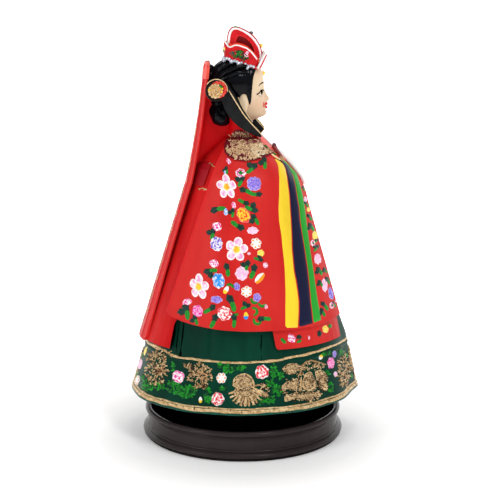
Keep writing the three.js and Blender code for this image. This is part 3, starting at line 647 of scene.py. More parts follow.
# Each kind of motif: outline, tint, sides and rings, swell in millimetres
KINDS = {
    "plum": (petals(5, 0.42), plum_tint, 60, 9, 0.55),
    "purple": (oval(), swirl_tint(PURPLE, LILAC, WHITE, 5, 17), 40, 8, 0.6),
    "rose_purple": (oval(), swirl_tint(PURPLE, WHITE, WHITE, 3, 12), 40, 8, 0.55),
    "sun": (oval(0.03), swirl_tint(YELLOW, srgb(238, 70, 40), PINK, 3, 12), 40, 8, 0.6),
    "pink": (oval(0.06, 8), cloud_tint(PINK, srgb(248, 214, 232), WHITE), 36, 6, 0.5),
    "blue": (oval(0.05, 7), cloud_tint(BLUE, WHITE, WHITE, -0.5), 40, 7, 0.55),
    "rose_red": (oval(0.05, 7), swirl_tint(srgb(226, 40, 60), WHITE, WHITE, 3, 11), 40, 8, 0.6),
    "rose_magenta": (oval(0.05, 6), swirl_tint(MAGENTA, PINK, PINK, 4, 12), 36, 7, 0.5),
    "magenta_white": (petals(4, 0.18), swirl_tint(MAGENTA, WHITE, WHITE, 2, 9), 36, 7, 0.5),
    "dots": (petals(6, 0.20), dotted_tint, 48, 9, 0.5),
    "crescent": (oval(0.02), halves_tint(WHITE, ORANGE), 32, 6, 0.45),
    "green_eye": (oval(0.08, 7), centred_tint(LEAF, MAGENTA, WHITE), 36, 7, 0.5),
    "bud": (drop, cloud_tint(MAGENTA, WHITE, PINK, 0.1), 24, 5, 0.45),
    "bluebud": (drop, cloud_tint(BLUE, WHITE, WHITE, -0.2), 24, 5, 0.45),
    "lilac": (petals(5, 0.16), cloud_tint(PURPLE, LILAC, WHITE, 0.1), 30, 6, 0.45),
    "yellow": (petals(5, 0.12), cloud_tint(YELLOW, srgb(252, 230, 120), srgb(252, 240, 190)), 24, 5, 0.45),
    "yellow_drop": (drop, halves_tint(WHITE, YELLOW), 24, 5, 0.45),
    "blue_drop": (drop, halves_tint(YELLOW, BLUE), 24, 5, 0.45),
    "dark_leaf": (oval(0.12, 5), cloud_tint(DARK_LEAF, srgb(20, 60, 50), DARK_LEAF), 20, 4, 0.4),
    "leaf": (pointed, cloud_tint(LEAF, BRIGHT_LEAF, LEAF), 20, 4, 0.45),
    "gold_leaf": (pointed, cloud_tint(GOLD, PALE_GOLD, DARK_GOLD), 20, 5, 0.45)
}


def fan_faces(sides, rings):
    """Faces of a disc: one corner in the middle and rings of corners round it."""
    faces = [(0, 1 + k, 1 + (k + 1) % sides) for k in range(sides)]
    for ring in range(rings - 1):
        base = 1 + ring * sides
        for k in range(sides):
            after = (k + 1) % sides
            faces.append((base + k, base + sides + k, base + sides + after, base + after))
    return faces


def motif(work, place, cx, cy, width, height, kind, turn=0.0):
    """One raised motif about a point, as wide and high as given before it is turned."""
    outline, tint_at, sides, rings, swell = KINDS[kind]
    seed = rng.random() * 90
    corners, tints = [], []
    cos_turn, sin_turn = math.cos(turn), math.sin(turn)
    for ring in range(rings + 1):
        t = ring / rings
        for a in full_turn(sides if ring else 1):
            uneven = noise.noise(Vector((math.cos(a) * 1.6, math.sin(a) * 1.6, seed)))
            reach = outline(a) * t * (1 + 0.12 * uneven)
            x, y = width / 2 * reach * math.cos(a), height / 2 * reach * math.sin(a)
            x, y = x * cos_turn - y * sin_turn, x * sin_turn + y * cos_turn
            hit = settle(place, cx, cy, x, y)
            if hit is None:
                return
            speck = noise.noise(Vector((reach * math.cos(a) * 4.2, reach * math.sin(a) * 4.2, seed)))
            lift = -0.2 if ring == rings else swell * (1 - 0.55 * t * t) * (1 + 0.5 * speck)
            corners.append(hit[0] + hit[1] * lift)
            tints.append(tint_at(t, a, speck))
    work.add(corners, fan_faces(sides, rings), tints)


# Kind of each leaf, its distance as a share of the size, and its angle
LEAF_GROUP = (("dark_leaf", 0.30, 0.5), ("dark_leaf", 0.42, 1.9), ("leaf", 0.30, 3.4))


def leaves(work, place, cx, cy, size, turn):
    """One bright leaf beside one or two dark ones."""
    for k, (kind, away, swing) in enumerate(LEAF_GROUP):
        if k == 1 and rng.random() < 0.45:
            continue
        a = turn + swing
        spread_x, spread_y = size * away * math.cos(a), size * away * math.sin(a)
        motif(work, place, cx + spread_x, cy - spread_y, size * 0.98, size * 0.74, kind, a)


def stroke(work, place, points, width, tint, lift=0.35):
    """A brush stroke along picture points, thin at both ends."""
    hits = [place(x, y) for x, y in points]
    if None in hits or len(hits) < 2:
        return
    rows = []
    last = len(hits) - 1
    for i, (point, normal) in enumerate(hits):
        along = hits[min(last, i + 1)][0] - hits[max(0, i - 1)][0]
        side = along.cross(normal).normalized()
        half = width / 2 * (0.3 + 0.7 * math.sin(math.pi * (i + 0.35) / (last + 0.7)) ** 0.6)
        sunk = normal * 0.1
        rows.append([point - side * half - sunk, point + normal * lift, point + side * half - sunk])
    sheet(work, rows, tint)


def curved(work, place, x, y, size, aim, curl, *options):
    """One short curved stroke with its middle near a point."""
    line = []
    for k in range(5):
        t = k / 4 - 0.5
        line.append((x + size * t * math.cos(aim + curl * t), y + size * t * math.sin(aim + curl * t)))
    stroke(work, place, line, *options)


def scribble(work, place, cx, cy, width, height, count, length, thick, tints, bend, lift):
    """Short curved strokes scattered over an oval."""
    for _ in range(count):
        a = rng.random() * 2 * math.pi
        far = math.sqrt(rng.random())
        x, y = cx + width / 2 * far * math.cos(a), cy + height / 2 * far * math.sin(a)
        aim = rng.random() * 2 * math.pi
        curl = rng.uniform(-bend, bend)
        size = length * rng.uniform(0.6, 1.3)
        curved(work, place, x, y, size, aim, curl, thick * rng.uniform(0.7, 1.25), rng.choice(tints), lift)


# Plinth
def lathe(work, profile, sides, tint):
    """A turned body from (radius, height) points."""
    rings = []
    for radius, height in profile:
        rings.append(
            [Vector((radius * math.cos(a), radius * math.sin(a), height)) for a in full_turn(sides)]
        )
    loft(work, rings, tint, closed=False)


def rounded(centre_radius, centre_height, size, start, end, steps=6):
    """Part of a round bead in a turned profile."""
    out = []
    for k in range(steps + 1):
        a = math.radians(mix(start, end, k / steps))
        out.append((centre_radius + size * math.cos(a), centre_height + size * math.sin(a)))
    return out


plinth_work = Work()
plinth_profile = [(7.9, 1.5), (62.2, 1.5)]
plinth_profile += rounded(61.0, 3.0, 1.6, -70, 75)
plinth_profile += [(60.7, 4.8), (60.2, 5.1)]
plinth_profile += rounded(60.0, 5.7, 0.65, -70, 70, 4)
plinth_profile += [(59.6, 6.6), (59.5, 10.0), (59.3, 13.0), (58.8, 13.8), (58.7, 14.3)]
plinth_profile += rounded(59.6, 15.9, 1.6, -75, 95, 8)
plinth_profile += [
    (58.6, 17.4), (57.9, 17.1), (57.5, 16.2), (40, 16.2), (2.8, 16.2), (2.8, 7.5), (7.9, 7.5), (7.9, 1.5)
]
lathe(plinth_work, plinth_profile, 160, BLACK)
make(
    "turned_plinth", plinth_work, plinth_finish, body="base", slot="plinth_lacquer", stands_for=("plinth",),
    sharp=38
)

# Painted shade: a black disc over the floor of the plinth's recess, in the shade under the skirt
recess_shade_work = Work()
lathe(recess_shade_work, [(2.9, 16.22), (57.4, 16.22), (57.4, 16.3), (2.9, 16.3), (2.9, 16.22)], 96, BLACK)
make("shaded_recess_disc", recess_shade_work, shade_black_finish, body="base", slot="plinth_lacquer", sharp=38)

# CAD pieces that stay as they are, with their paint
KEPT_NODES = (
    ("felt_pad", felt_finish), ("pivot_washer", steel_finish), ("pivot_screw", steel_finish),
    ("foot", black_finish), ("bodice", skirt_finish), ("robe_front_right", red_finish),
    ("robe_front_left", red_finish), ("shoulder_patch_right", maroon_finish),
    ("shoulder_patch_left", maroon_finish), ("belt_back", belt_finish), ("collar", deep_finish),
    ("hairpin_bar", black_finish), ("ribbon_loop_right", charcoal_finish),
    ("ribbon_loop_left", charcoal_finish)
)
for node, finish in KEPT_NODES:
    nodes[node].data.materials.clear()
    nodes[node].data.materials.append(finish)

# The back hem hangs a little higher than in the CAD
HEM_LIFT, LIFT_TOP, LIFT_DEPTH = 1.8, 84, 23
robe_back_work = Work()
raised = []
for vertex in nodes["robe_back"].data.vertices:
    lift = HEM_LIFT * clamp((LIFT_TOP - vertex.co.z / MM) / LIFT_DEPTH)
    raised.append(vertex.co / MM + Vector((0, 0, lift)))
robe_back_work.add(raised, work_of("robe_back").faces, RED)
make("robe_back_panel", robe_back_work, robe_back_shaded_finish, slot="robe_red", stands_for=("robe_back",), sharp=40)

# Skirt: its reach at the hem, the height where it goes under the robe,
# and how far inside the outermost cloth it stands there
HEM_REACH = {"front": 69.7, "back": 69.7, "side": 62.0}
SKIRT_HEM, TUCK, INNER = 28.4, 62.0, 5.2
PLEAT_TOP, PLEAT_SWELL, PLEAT_ANGLE = 100, 2.8, 0.15
FOLD_ANGLES, FOLD_DEPTH, FOLD_ANGLE = (2.34, 2.45, 2.57, 1.9, 1.55, 1.15), 0.7, 0.022
HEM_ROLL = [
    (28.4, 0), (31.4, 0), (32, -0.8), (56.4, -0.8), (57, -0.3), (58, -0.3), (58.6, -0.8), (63, -0.4),
    (100, 0), (150, 0)
]


def skirt_point(phi, height, out=0.0):
    """A point of the skirt by angle and height, with its pleat, folds and hem roll."""

    def reach(direction):
        if height >= TUCK:
            return gown(height, direction) - INNER
        share = (height - SKIRT_HEM) / (TUCK - SKIRT_HEM)
        return mix(HEM_REACH[direction], gown(TUCK, direction) - INNER, share)

    fold_share = clamp((TUCK - height) / (TUCK - SKIRT_HEM))
    pleat_share = clamp((PLEAT_TOP - height) / (PLEAT_TOP - TUCK))
    wrapped = abs((phi + math.pi) % (2 * math.pi) - math.pi)
    extra = 0.35 * fold_share * (math.cos(12 * phi) - 1)
    extra += PLEAT_SWELL * pleat_share * math.exp(-((wrapped / PLEAT_ANGLE) ** 2))
    loose = clamp((height - 56) / 8) * clamp((84 - height) / 8)
    for fold in FOLD_ANGLES:
        extra -= FOLD_DEPTH * loose * math.exp(-(((wrapped - fold) / FOLD_ANGLE) ** 2))
    extra += table(HEM_ROLL, height)
    deep = reach(nearer(phi))
    across = reach("side")
    return up((deep + extra + out) * math.cos(phi), height, (across + extra + out) * math.sin(phi))


TURNS = 300


def skirt_ring(height, out=0.0):
    return [skirt_point(phi, height, out) for phi in full_turn(TURNS)]


skirt_work = Work()
skirt_levels = [
    28.4, 28.8, 29.5, 30.4, 31.4, 32, 33, 36, 40, 44, 48, 52, 55.5, 56.4, 57, 58, 58.6, 60, 62, 64, 67, 70,
    74, 78, 82, 90, 100, 150
]
skirt_rings = [skirt_ring(31, -5), skirt_ring(28.6, -3), skirt_ring(28.2, -0.8)]
skirt_rings += [skirt_ring(height, -0.3 if height < 28.5 else 0) for height in skirt_levels]
loft(skirt_work, skirt_rings, GREEN)
make("full_skirt", skirt_work, skirt_finish, slot="skirt_green", stands_for=("skirt",), sharp=60)
skirt_tree = tree_of(skirt_work)


def trim(work, low, high, waver, tints, out=0.28, course=((0, 0),)):
    """A painted band round the skirt with hand-drawn edges, raised by its course from front to back."""
    rows = []
    for share in (0, 0.12, 0.5, 0.88, 1):
        row = []
        for k in range(TURNS + 1):
            phi = 2 * math.pi * k / TURNS
            bottom = low + waver * noise.noise(Vector((math.cos(phi) * 9, math.sin(phi) * 9, low)))
            top = high + waver * noise.noise(Vector((math.cos(phi) * 11, math.sin(phi) * 11, high)))
            lift = -0.15 if share in (0, 1) else out
            higher = table(course, math.pi - abs(math.pi - phi))
            row.append(skirt_point(phi, mix(bottom, top, share) + higher, lift))
        rows.append(row)
    shades = []
    for row in rows:
        for corner in row:
            speck = noise.noise(corner * 0.9)
            shades.append(tone(tints[0], tints[1], 0.5 + 1.6 * speck))
    sheet(work, rows, shades)


gold_trim = Work()
trim(gold_trim, 29.3, 32.3, 0.5, (GOLD, PALE_GOLD))
on_skirt = seen(skirt_tree)
# Picture points of the gold line above the brocade, followed round the skirt
LINE_POINTS = (
    (147.9, 342.5), (153.5, 344.9), (158.3, 347.5), (163.1, 350.5), (167.8, 353.7), (174.2, 356.5),
    (179, 357.3), (188.6, 358.5), (199.7, 360.1), (207.7, 361), (223.7, 362.1), (240, 362.9),
    (256.6, 362.3), (275.7, 360.7), (286.4, 358.6), (298, 356.1), (310.5, 353.2), (322.9, 349.5),
    (333.7, 345.3), (342, 341.6)
)
line_course = []
for px, py in LINE_POINTS:
    spot = on_skirt(px, py)[0]
    deep, across = -skirt_point(0, spot.z).y, -skirt_point(math.pi / 2, spot.z).x
    line_course.append((math.atan2(abs(spot.x) / across, -spot.y / deep), spot.z))
trim(gold_trim, -0.7, 0.7, 0.5, (GOLD, PALE_GOLD), course=sorted(line_course))
make("hem_gold", gold_trim, gold_finish, slot="patch_gold", **PAINTED)
teal_trim = Work()
trim(teal_trim, 28.2, 29.9, 0.2, (TEAL, GREEN), out=0.12)
make("hem_underside", teal_trim, thread_finish, slot="skirt_green", **PAINTED)

crease_shade_work = Work()
# Painted shade: black strokes in the creases between the folds
CREASE_SHADE_LINES = (
    ([(175.4, 322), (174, 332), (172.2, 341), (170.8, 349)], 2.4),
    ([(179.4, 322), (178, 334), (176.6, 346), (176, 353)], 1.5),
    ([(184, 322), (182.6, 336), (180.6, 352), (180, 357)], 2.0),
    ([(262, 335), (261, 346), (261.4, 361)], 1.2)
)
for line, width in CREASE_SHADE_LINES:
    stroke(crease_shade_work, on_skirt, line, width, BLACK, 0.2)
make_pair("skirt_crease_shade", crease_shade_work, shade_black_finish, slot="skirt_green", **PAINTED)

# Brocade band of the skirt, placed by the picture on the near side and mirrored
brocade = Work()
GILT = (srgb(208, 172, 122), srgb(244, 214, 166), srgb(182, 144, 100), srgb(232, 200, 150))
RUST = srgb(112, 30, 24)
LACE_TINTS = GILT + GILT + (RUST,)
FOLIAGE = (srgb(0, 132, 22), srgb(0, 98, 26), srgb(26, 158, 38), srgb(0, 66, 30))


def filigree(work, place, cx, cy, width, height, count, length=2.7, thick=0.75, tints=LACE_TINTS,
             swell=(0.35, 0.7)):
    """Raised lace: short thin strokes that run outwards and curl, with gaps between them."""
    for _ in range(count):
        a = rng.random() * 2 * math.pi
        far = math.sqrt(rng.random())
        ragged = 1 + 0.12 * math.sin(7 * a)
        x, y = cx + width / 2 * far * ragged * math.cos(a), cy + height / 2 * far * ragged * math.sin(a)
        aim = a + rng.choice((0, 0, 0.4, -0.4, 1.4))
        curl = rng.uniform(-1.8, 1.8)
        size = length * rng.uniform(0.6, 1.25)
        width_here, tint, lift = thick * rng.uniform(0.75, 1.25), rng.choice(tints), rng.uniform(*swell)
        curved(work, place, x, y, size, aim, curl, width_here, tint, lift)


# Middle, width and height in picture pixels, and number of strokes
FOLIAGE_SPOTS = (
    (187, 391.5, 19, 13, 95), (174, 388, 13, 12, 46), (172, 382, 8, 8, 20), (147, 386, 13, 10, 44),
    (160, 386, 10, 8, 24), (143, 379, 5, 6, 10), (208, 395, 7, 16, 32), (222.6, 388.4, 5, 5, 12),
    (229, 369, 12, 9, 36), (241, 367.6, 10, 6, 24), (173, 366, 4, 10, 16), (220, 366, 4, 5, 8),
    (273.6, 371, 6, 15, 34), (270, 383, 7, 8, 24), (281, 375, 5, 8, 16), (276.6, 391, 9, 12, 34),
    (262, 400.6, 7, 7, 22), (270, 400, 9, 8, 30), (330.6, 387, 6, 9, 20), (326, 353.6, 8, 4, 12),
    (341.6, 351.6, 4, 7, 12), (327, 373, 4, 5, 8), (137, 356, 3, 9, 10), (137, 373, 3, 5, 6)
)
for cx, cy, w, h, count in FOLIAGE_SPOTS:
    filigree(brocade, on_skirt, cx, cy, w, h, count, 3.3, 1.35, FOLIAGE)
# Kind, middle, width and height in picture pixels, and turn
SKIRT_MOTIFS = (
    ("pink", 140, 364, 5, 13, -0.2), ("dots", 137.4, 380, 5, 11, -0.2),
    ("magenta_white", 178, 377, 13.5, 14, 0.5), ("dots", 221.5, 378, 11, 12, 0),
    ("rose_red", 217.6, 399, 14, 14.5, 0), ("yellow_drop", 200.4, 400.4, 5.5, 8, 0),
    ("rose_red", 262, 372, 15, 15.5, 0.4), ("yellow_drop", 321, 356.8, 6, 7, 2.6),
    ("rose_magenta", 331, 363, 8, 12.5, 0), ("lilac", 334.4, 354, 4, 8, 0), ("pink", 335.4, 374, 4, 6, 0),
    ("yellow", 145.5, 351, 2.4, 10, -0.3)
)
for kind, cx, cy, w, h, turn in SKIRT_MOTIFS:
    motif(brocade, on_skirt, cx, cy, w, h, kind, turn)


def edge_of(outline, steps):
    """A smooth closed line through picture points, and its middle."""
    edge = flowing([Vector((x, y, 0)) for x, y in outline + outline[:1]], steps)[:-1]
    return edge, sum(edge, Vector((0, 0, 0))) / len(edge)


def painted_area(work, place, outline, lift=0.55, tints=GILT):
    """A raised patch of paint inside an outline of picture points."""
    edge, middle = edge_of(outline, 3)
    seed = rng.random() * 90
    corners, shades = [], []
    rings = 5
    for ring in range(rings + 1):
        t = ring / rings
        for point in edge if ring else edge[:1]:
            at = middle.lerp(point, t)
            hit = place(at.x, at.y)
            if hit is None:
                return
            speck = noise.noise(Vector((at.x * 0.9, at.y * 0.9, seed)))
            corners.append(hit[0] + hit[1] * (-0.2 if ring == rings else lift * (1 + 0.6 * speck)))
            shades.append(tone(tints[0], tints[1], 0.4 + 1.8 * speck))
    work.add(corners, fan_faces(len(edge), rings), shades)


# Picture pixels from hole to hole of the pierced gold, and how far from its middle they stand
HOLE_STEP, HOLE_SHARE = 2.0, 0.74
HOLE_TINTS = (srgb(4, 34, 26), srgb(50, 26, 16))
WORKED_TINTS = (PALE_GOLD, srgb(250, 226, 180), DARK_GOLD, srgb(76, 40, 24))


def pierced(work, place, outline):
    """Dark holes in a row inside the edge of a gold shape, and worked lines in its middle."""
    edge, middle = edge_of(outline, 6)
    walked = 0.0
    for before, after in zip(edge, edge[1:] + edge[:1]):
        walked += (after - before).length
        if walked > HOLE_STEP:
            walked = 0.0
            at = middle.lerp(after, HOLE_SHARE + rng.uniform(-0.06, 0.08))
            hole = [(at.x - 0.6, at.y - 0.2), (at.x, at.y), (at.x + 0.6, at.y + 0.2)]
            stroke(work, place, hole, rng.uniform(1.1, 1.7), rng.choice(HOLE_TINTS), 1.0)
    wide = max(point.x for point in edge) - min(point.x for point in edge)
    tall = max(point.y for point in edge) - min(point.y for point in edge)
    count = int(wide * tall / 5)
    wide, tall = wide * 0.64, tall * 0.64
    scribble(work, place, middle.x, middle.y, wide, tall, count, 2.1, 0.62, WORKED_TINTS, 1.6, 1.0)


gold_motifs = Work()
GOLD_FLOWERS = (
    (156.6, 368, 22, 37, 190, LACE_TINTS), (160, 369, 9, 12, 26, (RUST, srgb(176, 124, 88), GILT[0])),
    (200, 376, 24, 26, 165, LACE_TINTS), (203, 374, 11, 11, 30, (RUST, srgb(186, 122, 88), GILT[0])),
    (187.6, 365.6, 8, 4, 16, LACE_TINTS), (344, 371, 14, 33, 130, LACE_TINTS),
)
for cx, cy, w, h, count, tints in GOLD_FLOWERS:
    filigree(gold_motifs, on_skirt, cx, cy, w, h, count, tints=tints)
GOLD_SHAPES = (
    [
        (232, 386), (233, 379), (238, 374.4), (245, 372.8), (251, 375.6), (254.5, 381), (255, 388),
        (248, 390), (240, 391)
    ],
    [
        (281.5, 368.9), (286.4, 364.4), (293.1, 362.7), (299.7, 364.8), (297.2, 371.4), (293.1, 374.8),
        (286.4, 373.9)
    ],
    [
        (303, 378.1), (306.3, 372.3), (311.3, 371.4), (313.8, 376.4), (317.1, 383), (316.3, 389.7),
        (310.5, 391.3), (303, 388.9), (301.8, 383)
    ],
    [
        (314.6, 371.4), (319.6, 369), (324.6, 371.4), (327.9, 376.4), (325.4, 381.4), (328.7, 386.4),
        (326.2, 391.3), (321.3, 388), (317.9, 382.2), (315.5, 376.4)
    ],
    [
        (286.4, 381.4), (293.1, 379.7), (298, 378.1), (298.9, 383), (298, 389.7), (291.4, 391),
        (286.4, 388.9), (283.4, 392), (280.8, 387)
    ],
    [
        (283.1, 396.5), (293.1, 393.4), (303, 393.6), (313, 391.8), (320.6, 392.4), (321.4, 397),
        (314.6, 397.1), (309.7, 400), (303, 400.4), (296.4, 398.8), (288, 400.6), (283.9, 402)
    ],
    [(260, 383.6), (263.5, 382.8), (266.6, 385), (265, 388), (261, 388)],
    [(260.8, 392), (265, 391.2), (269, 394.6), (268, 398), (263, 397)],
    [
        (235, 388.6), (241, 389.6), (249, 389.4), (256, 387.6), (258.6, 391), (254, 396), (246, 397.6),
        (239, 396.4), (233, 392.6)
    ]
)
for outline in GOLD_SHAPES:
    painted_area(gold_motifs, on_skirt, outline)
    pierced(gold_motifs, on_skirt, outline)
# A fan of twelve gold strokes from a middle in the picture
FAN_X, FAN_Y = 246, 389
for k in range(12):
    a = mix(2.9, 0.15, k / 11)
    start = (FAN_X + 7 * math.cos(a), FAN_Y + 5 * math.sin(a))
    end = (FAN_X + 18 * math.cos(a), FAN_Y + 0.5 + 17 * math.sin(a))
    middle = (mix(start[0], end[0], 0.5) + 0.8, mix(start[1], end[1], 0.5))
    stroke(gold_motifs, on_skirt, [start, middle, end], 1.7, GILT[k % 2], 0.5)
GOLD_LINES = (
    [(301.4, 366), (306, 362), (311, 360.4), (318, 362), (326, 364.6)],
    [(298, 377), (301, 371), (303, 366)], [(301, 391), (300.6, 384), (301.4, 377)],
    [(255, 391), (258.6, 392.6), (262, 394)], [(254, 386), (258, 385), (262, 385)],
    [(148, 343), (153, 345.6), (157, 347)], [(151, 345), (156, 348.4), (160, 350)],
    [(162, 349), (167, 352), (172, 357)], [(164, 357), (168, 353), (172, 351)],
    [(160, 354), (163, 350), (165, 349)]
)
for line in GOLD_LINES:
    stroke(gold_motifs, on_skirt, line, 1.2, rng.choice(GILT), 0.5)
GOLD_CLUSTERS = (
    (246, 399, 30, 13, 60), (264.6, 390, 9, 14, 22), (304, 389, 46, 26, 130), (312, 366, 26, 9, 34),
    (296, 369, 24, 12, 26)
)
for cx, cy, w, h, count in GOLD_CLUSTERS:
    filigree(gold_motifs, on_skirt, cx, cy, w, h, count)
DEEP_TINTS = (srgb(4, 34, 26), srgb(4, 26, 20), RUST)
DEEP_SPOTS = (
    (246, 382, 18, 12, 20), (290, 368.6, 14, 9, 14), (309, 381, 10, 14, 16), (321, 380, 9, 18, 18),
    (290, 385, 13, 9, 14), (302, 396.4, 36, 6, 26), (246, 398, 28, 12, 26)
)
for cx, cy, w, h, count in DEEP_SPOTS:
    filigree(gold_motifs, on_skirt, cx, cy, w, h, count, 2.2, 0.6, DEEP_TINTS)
make_pair("brocade_flowers", brocade, thread_finish, slot="bead_green", **PAINTED)
make_pair("brocade_gold", gold_motifs, gold_finish, slot="patch_gold", **PAINTED)

# The same band in the middle of the front and the back, which the picture doesn't show
ends = Work()
end_gold = Work()
BAND_HEIGHT = 43
for phi in (0.0, math.pi):
    spot = around(skirt_tree, phi, BAND_HEIGHT)
    filigree(end_gold, spot, 0, 0, 11, 20, 150, 1.9, 0.75)
    for side in (-1, 1):
        motif(ends, spot, side * 7.4, 7, 3, 5, "leaf", side * 0.5)
        motif(ends, spot, side * 7.4, -6.4, 3, 5, "leaf", side * -0.5)
make("brocade_flowers_ends", ends, thread_finish, slot="bead_green", **PAINTED)
make("brocade_gold_ends", end_gold, gold_finish, slot="patch_gold", **PAINTED)

# Sleeves: height of the hem by distance from the middle, and both edges and the top by height
SLEEVE_HEM = [
    (-46, 85.2), (-44.5, 83.0), (-42, 81.6), (-36, 80.0), (-28, 78.8), (-15, 77.4), (0, 76.7), (30, 76.4),
    (46, 76.7), (54, 77.6), (64, 79.2)
]
SLEEVE_BACK = [(83, -45.6), (128, -30.6), (170, -16), (186, -8)]
SLEEVE_FRONT = [(76, 17.5), (147, 11), (163, 5), (186, 9)]
SLEEVE_TOP = 184.2


def sleeve_place(u, v):
    """Angle and height on one sleeve, u from its front edge to its back edge, v from its hem up."""
    height = mix(HEM_HEIGHT, SLEEVE_TOP, v)
    for _ in range(6):
        front = math.asin(clamp(table(SLEEVE_FRONT, height) / gown(height, "side")))
        back = math.acos(clamp(table(SLEEVE_BACK, height) / gown(height, "back"), -1, 1))
        phi = mix(front, back, u)
        deep = gown(height, nearer(phi))
        height = mix(table(SLEEVE_HEM, deep * math.cos(phi)), SLEEVE_TOP, v)
    return phi, height


SLEEVE_ROWS, SLEEVE_COLUMNS = 72, 96


def sleeve_skin(inset):
    """The sleeve's skin at a depth under its cloth, softly uneven."""
    rows = []
    for r in range(SLEEVE_ROWS + 1):
        row = []
        for c in range(SLEEVE_COLUMNS + 1):
            phi, height = sleeve_place(c / SLEEVE_COLUMNS, r / SLEEVE_ROWS)
            soft = 0.16 * noise.noise(Vector((phi * 5, height * 0.012, 3.0)))
            row.append(cloth(phi, height, inset - soft))
        rows.append(row)
    return rows


sleeve_work = Work()
SLEEVE_THICKNESS = 2.7
slab(sleeve_work, sleeve_skin(0.0), sleeve_skin(SLEEVE_THICKNESS), RED)
make_pair("wide_sleeve", sleeve_work, red_finish, node="sleeve", slot="sleeve_red", bevel=0.75)
sleeve_tree = tree_of(sleeve_work)
on_sleeve = seen(sleeve_tree)

# Painted stripes: their edges in the picture from top to bottom
YELLOW_BACK = [
    (158, 274), (165, 277.9), (177, 278.9), (195, 278.8), (208, 278), (221, 278.6), (235, 281),
    (248, 282.2), (260, 283.6), (271, 284.5), (291, 285), (311, 284.8), (330, 285)
]
YELLOW_NAVY = [
    (158, 275), (163.4, 282.8), (168, 285.4), (177, 287.2), (195, 289.6), (208, 290.4), (221, 291.3),
    (235, 291.9), (250, 292.3), (271, 294.2), (281, 296.2), (291, 297.8), (301, 299), (311, 299.1),
    (330, 298.1)
]
NAVY_GREEN = [
    (158, 277), (162.5, 284.6), (165, 287.6), (168, 290.2), (177, 293.6), (186, 295.7), (195, 297),
    (208, 299.2), (221, 300.2), (235, 302.4), (248, 304.6), (271, 308), (291, 310), (301, 310.7),
    (311, 312), (326, 313.6)
]
GREEN_FRONT = [
    (158, 280), (162, 287.0), (165, 291.0), (168, 293.8), (172, 296.4), (177, 298), (186, 300.6),
    (195, 303), (208, 305.2), (221, 306.8), (235, 308.6), (248, 310.2), (271, 313.8), (291, 316.6),
    (301, 318.2), (311, 320.2), (322, 321.9)
]


STRIPE_TOP, STRIPE_END = 158.5, 325
STRIPE_FOOT = [(285, 328.6), (298, 328.0), (313.6, 323.8), (322, 320.2)]


def stripe(work, left, right, tint, lift):
    """A painted stripe between two edges of the picture, down to the sleeve's hem."""
    rows = []
    count = 64
    for r in range(count + 1):
        row = []
        for c in range(7):
            share = c / 6
            foot = table(STRIPE_FOOT, mix(table(left, STRIPE_END), table(right, STRIPE_END), share))
            py = mix(STRIPE_TOP, foot, r / count)
            hit = on_sleeve(mix(table(left, py), table(right, py), share), py)
            if hit is None:
                break
            height = -0.12 if c in (0, 6) or r in (0, count) else lift
            row.append(hit[0] + hit[1] * height)
        if len(row) == 7:
            rows.append(row)
    sheet(work, rows, tint)


stripes = Work()
stripe(stripes, YELLOW_BACK, YELLOW_NAVY, srgb(244, 206, 44), 0.4)
stripe(stripes, YELLOW_NAVY, NAVY_GREEN, NAVY, 0.34)
stripe(stripes, NAVY_GREEN, GREEN_FRONT, STRIPE_GREEN, 0.4)
sleeve_piping = Work()
for u in (0.006, 0.994):
    line = [cloth(*sleeve_place(u, v / 40), 0.25) for v in range(41)]
    cord(sleeve_piping, line, 0.5, srgb(214, 10, 22))
make_pair("sleeve_piping", sleeve_piping, thread_finish, slot="sleeve_red", **PAINTED)
make_pair("sleeve_stripes", stripes, stripe_finish, slot="patch_gold", **PAINTED)

# Embroidery of the sleeves
sleeve_flowers = Work()
# Middle and size in picture pixels, and turn
SLEEVE_LEAVES = (
    (252.6, 168.5, 10, 0.4), (265, 162.5, 9, 1.3), (241.5, 181, 9, 0.8), (246, 190.5, 10, 2.4),
    (256, 194.5, 9, -0.4), (217.5, 209, 11, 3.0), (233, 212.5, 7, 1.2), (243.5, 202.5, 9, -0.8),
    (251.5, 209.5, 10, -0.7), (255.5, 219, 9, 1.8), (213.2, 233.5, 9, 1.0), (237.5, 226, 11, -0.9),
    (258.6, 259.5, 7, -0.6), (210.2, 270.5, 10, 2.9), (227.6, 269.5, 10, 1.4), (247.2, 266, 9, 0.9),
    (253.6, 271.4, 11, 0.9), (232, 302.5, 13, 1.6), (187, 311, 12, 1.4), (196, 319.5, 8, 1.5),
    (210, 309.5, 10, 0.2), (214.2, 321, 11, 0.8), (234.5, 320.5, 10, 1.2), (246, 307, 8, 0.1),
    (264, 318.5, 10, 2.8), (226.8, 170, 6, 1.4)
)
for cx, cy, size, turn in SLEEVE_LEAVES:
    leaves(sleeve_flowers, on_sleeve, cx, cy, size, turn)
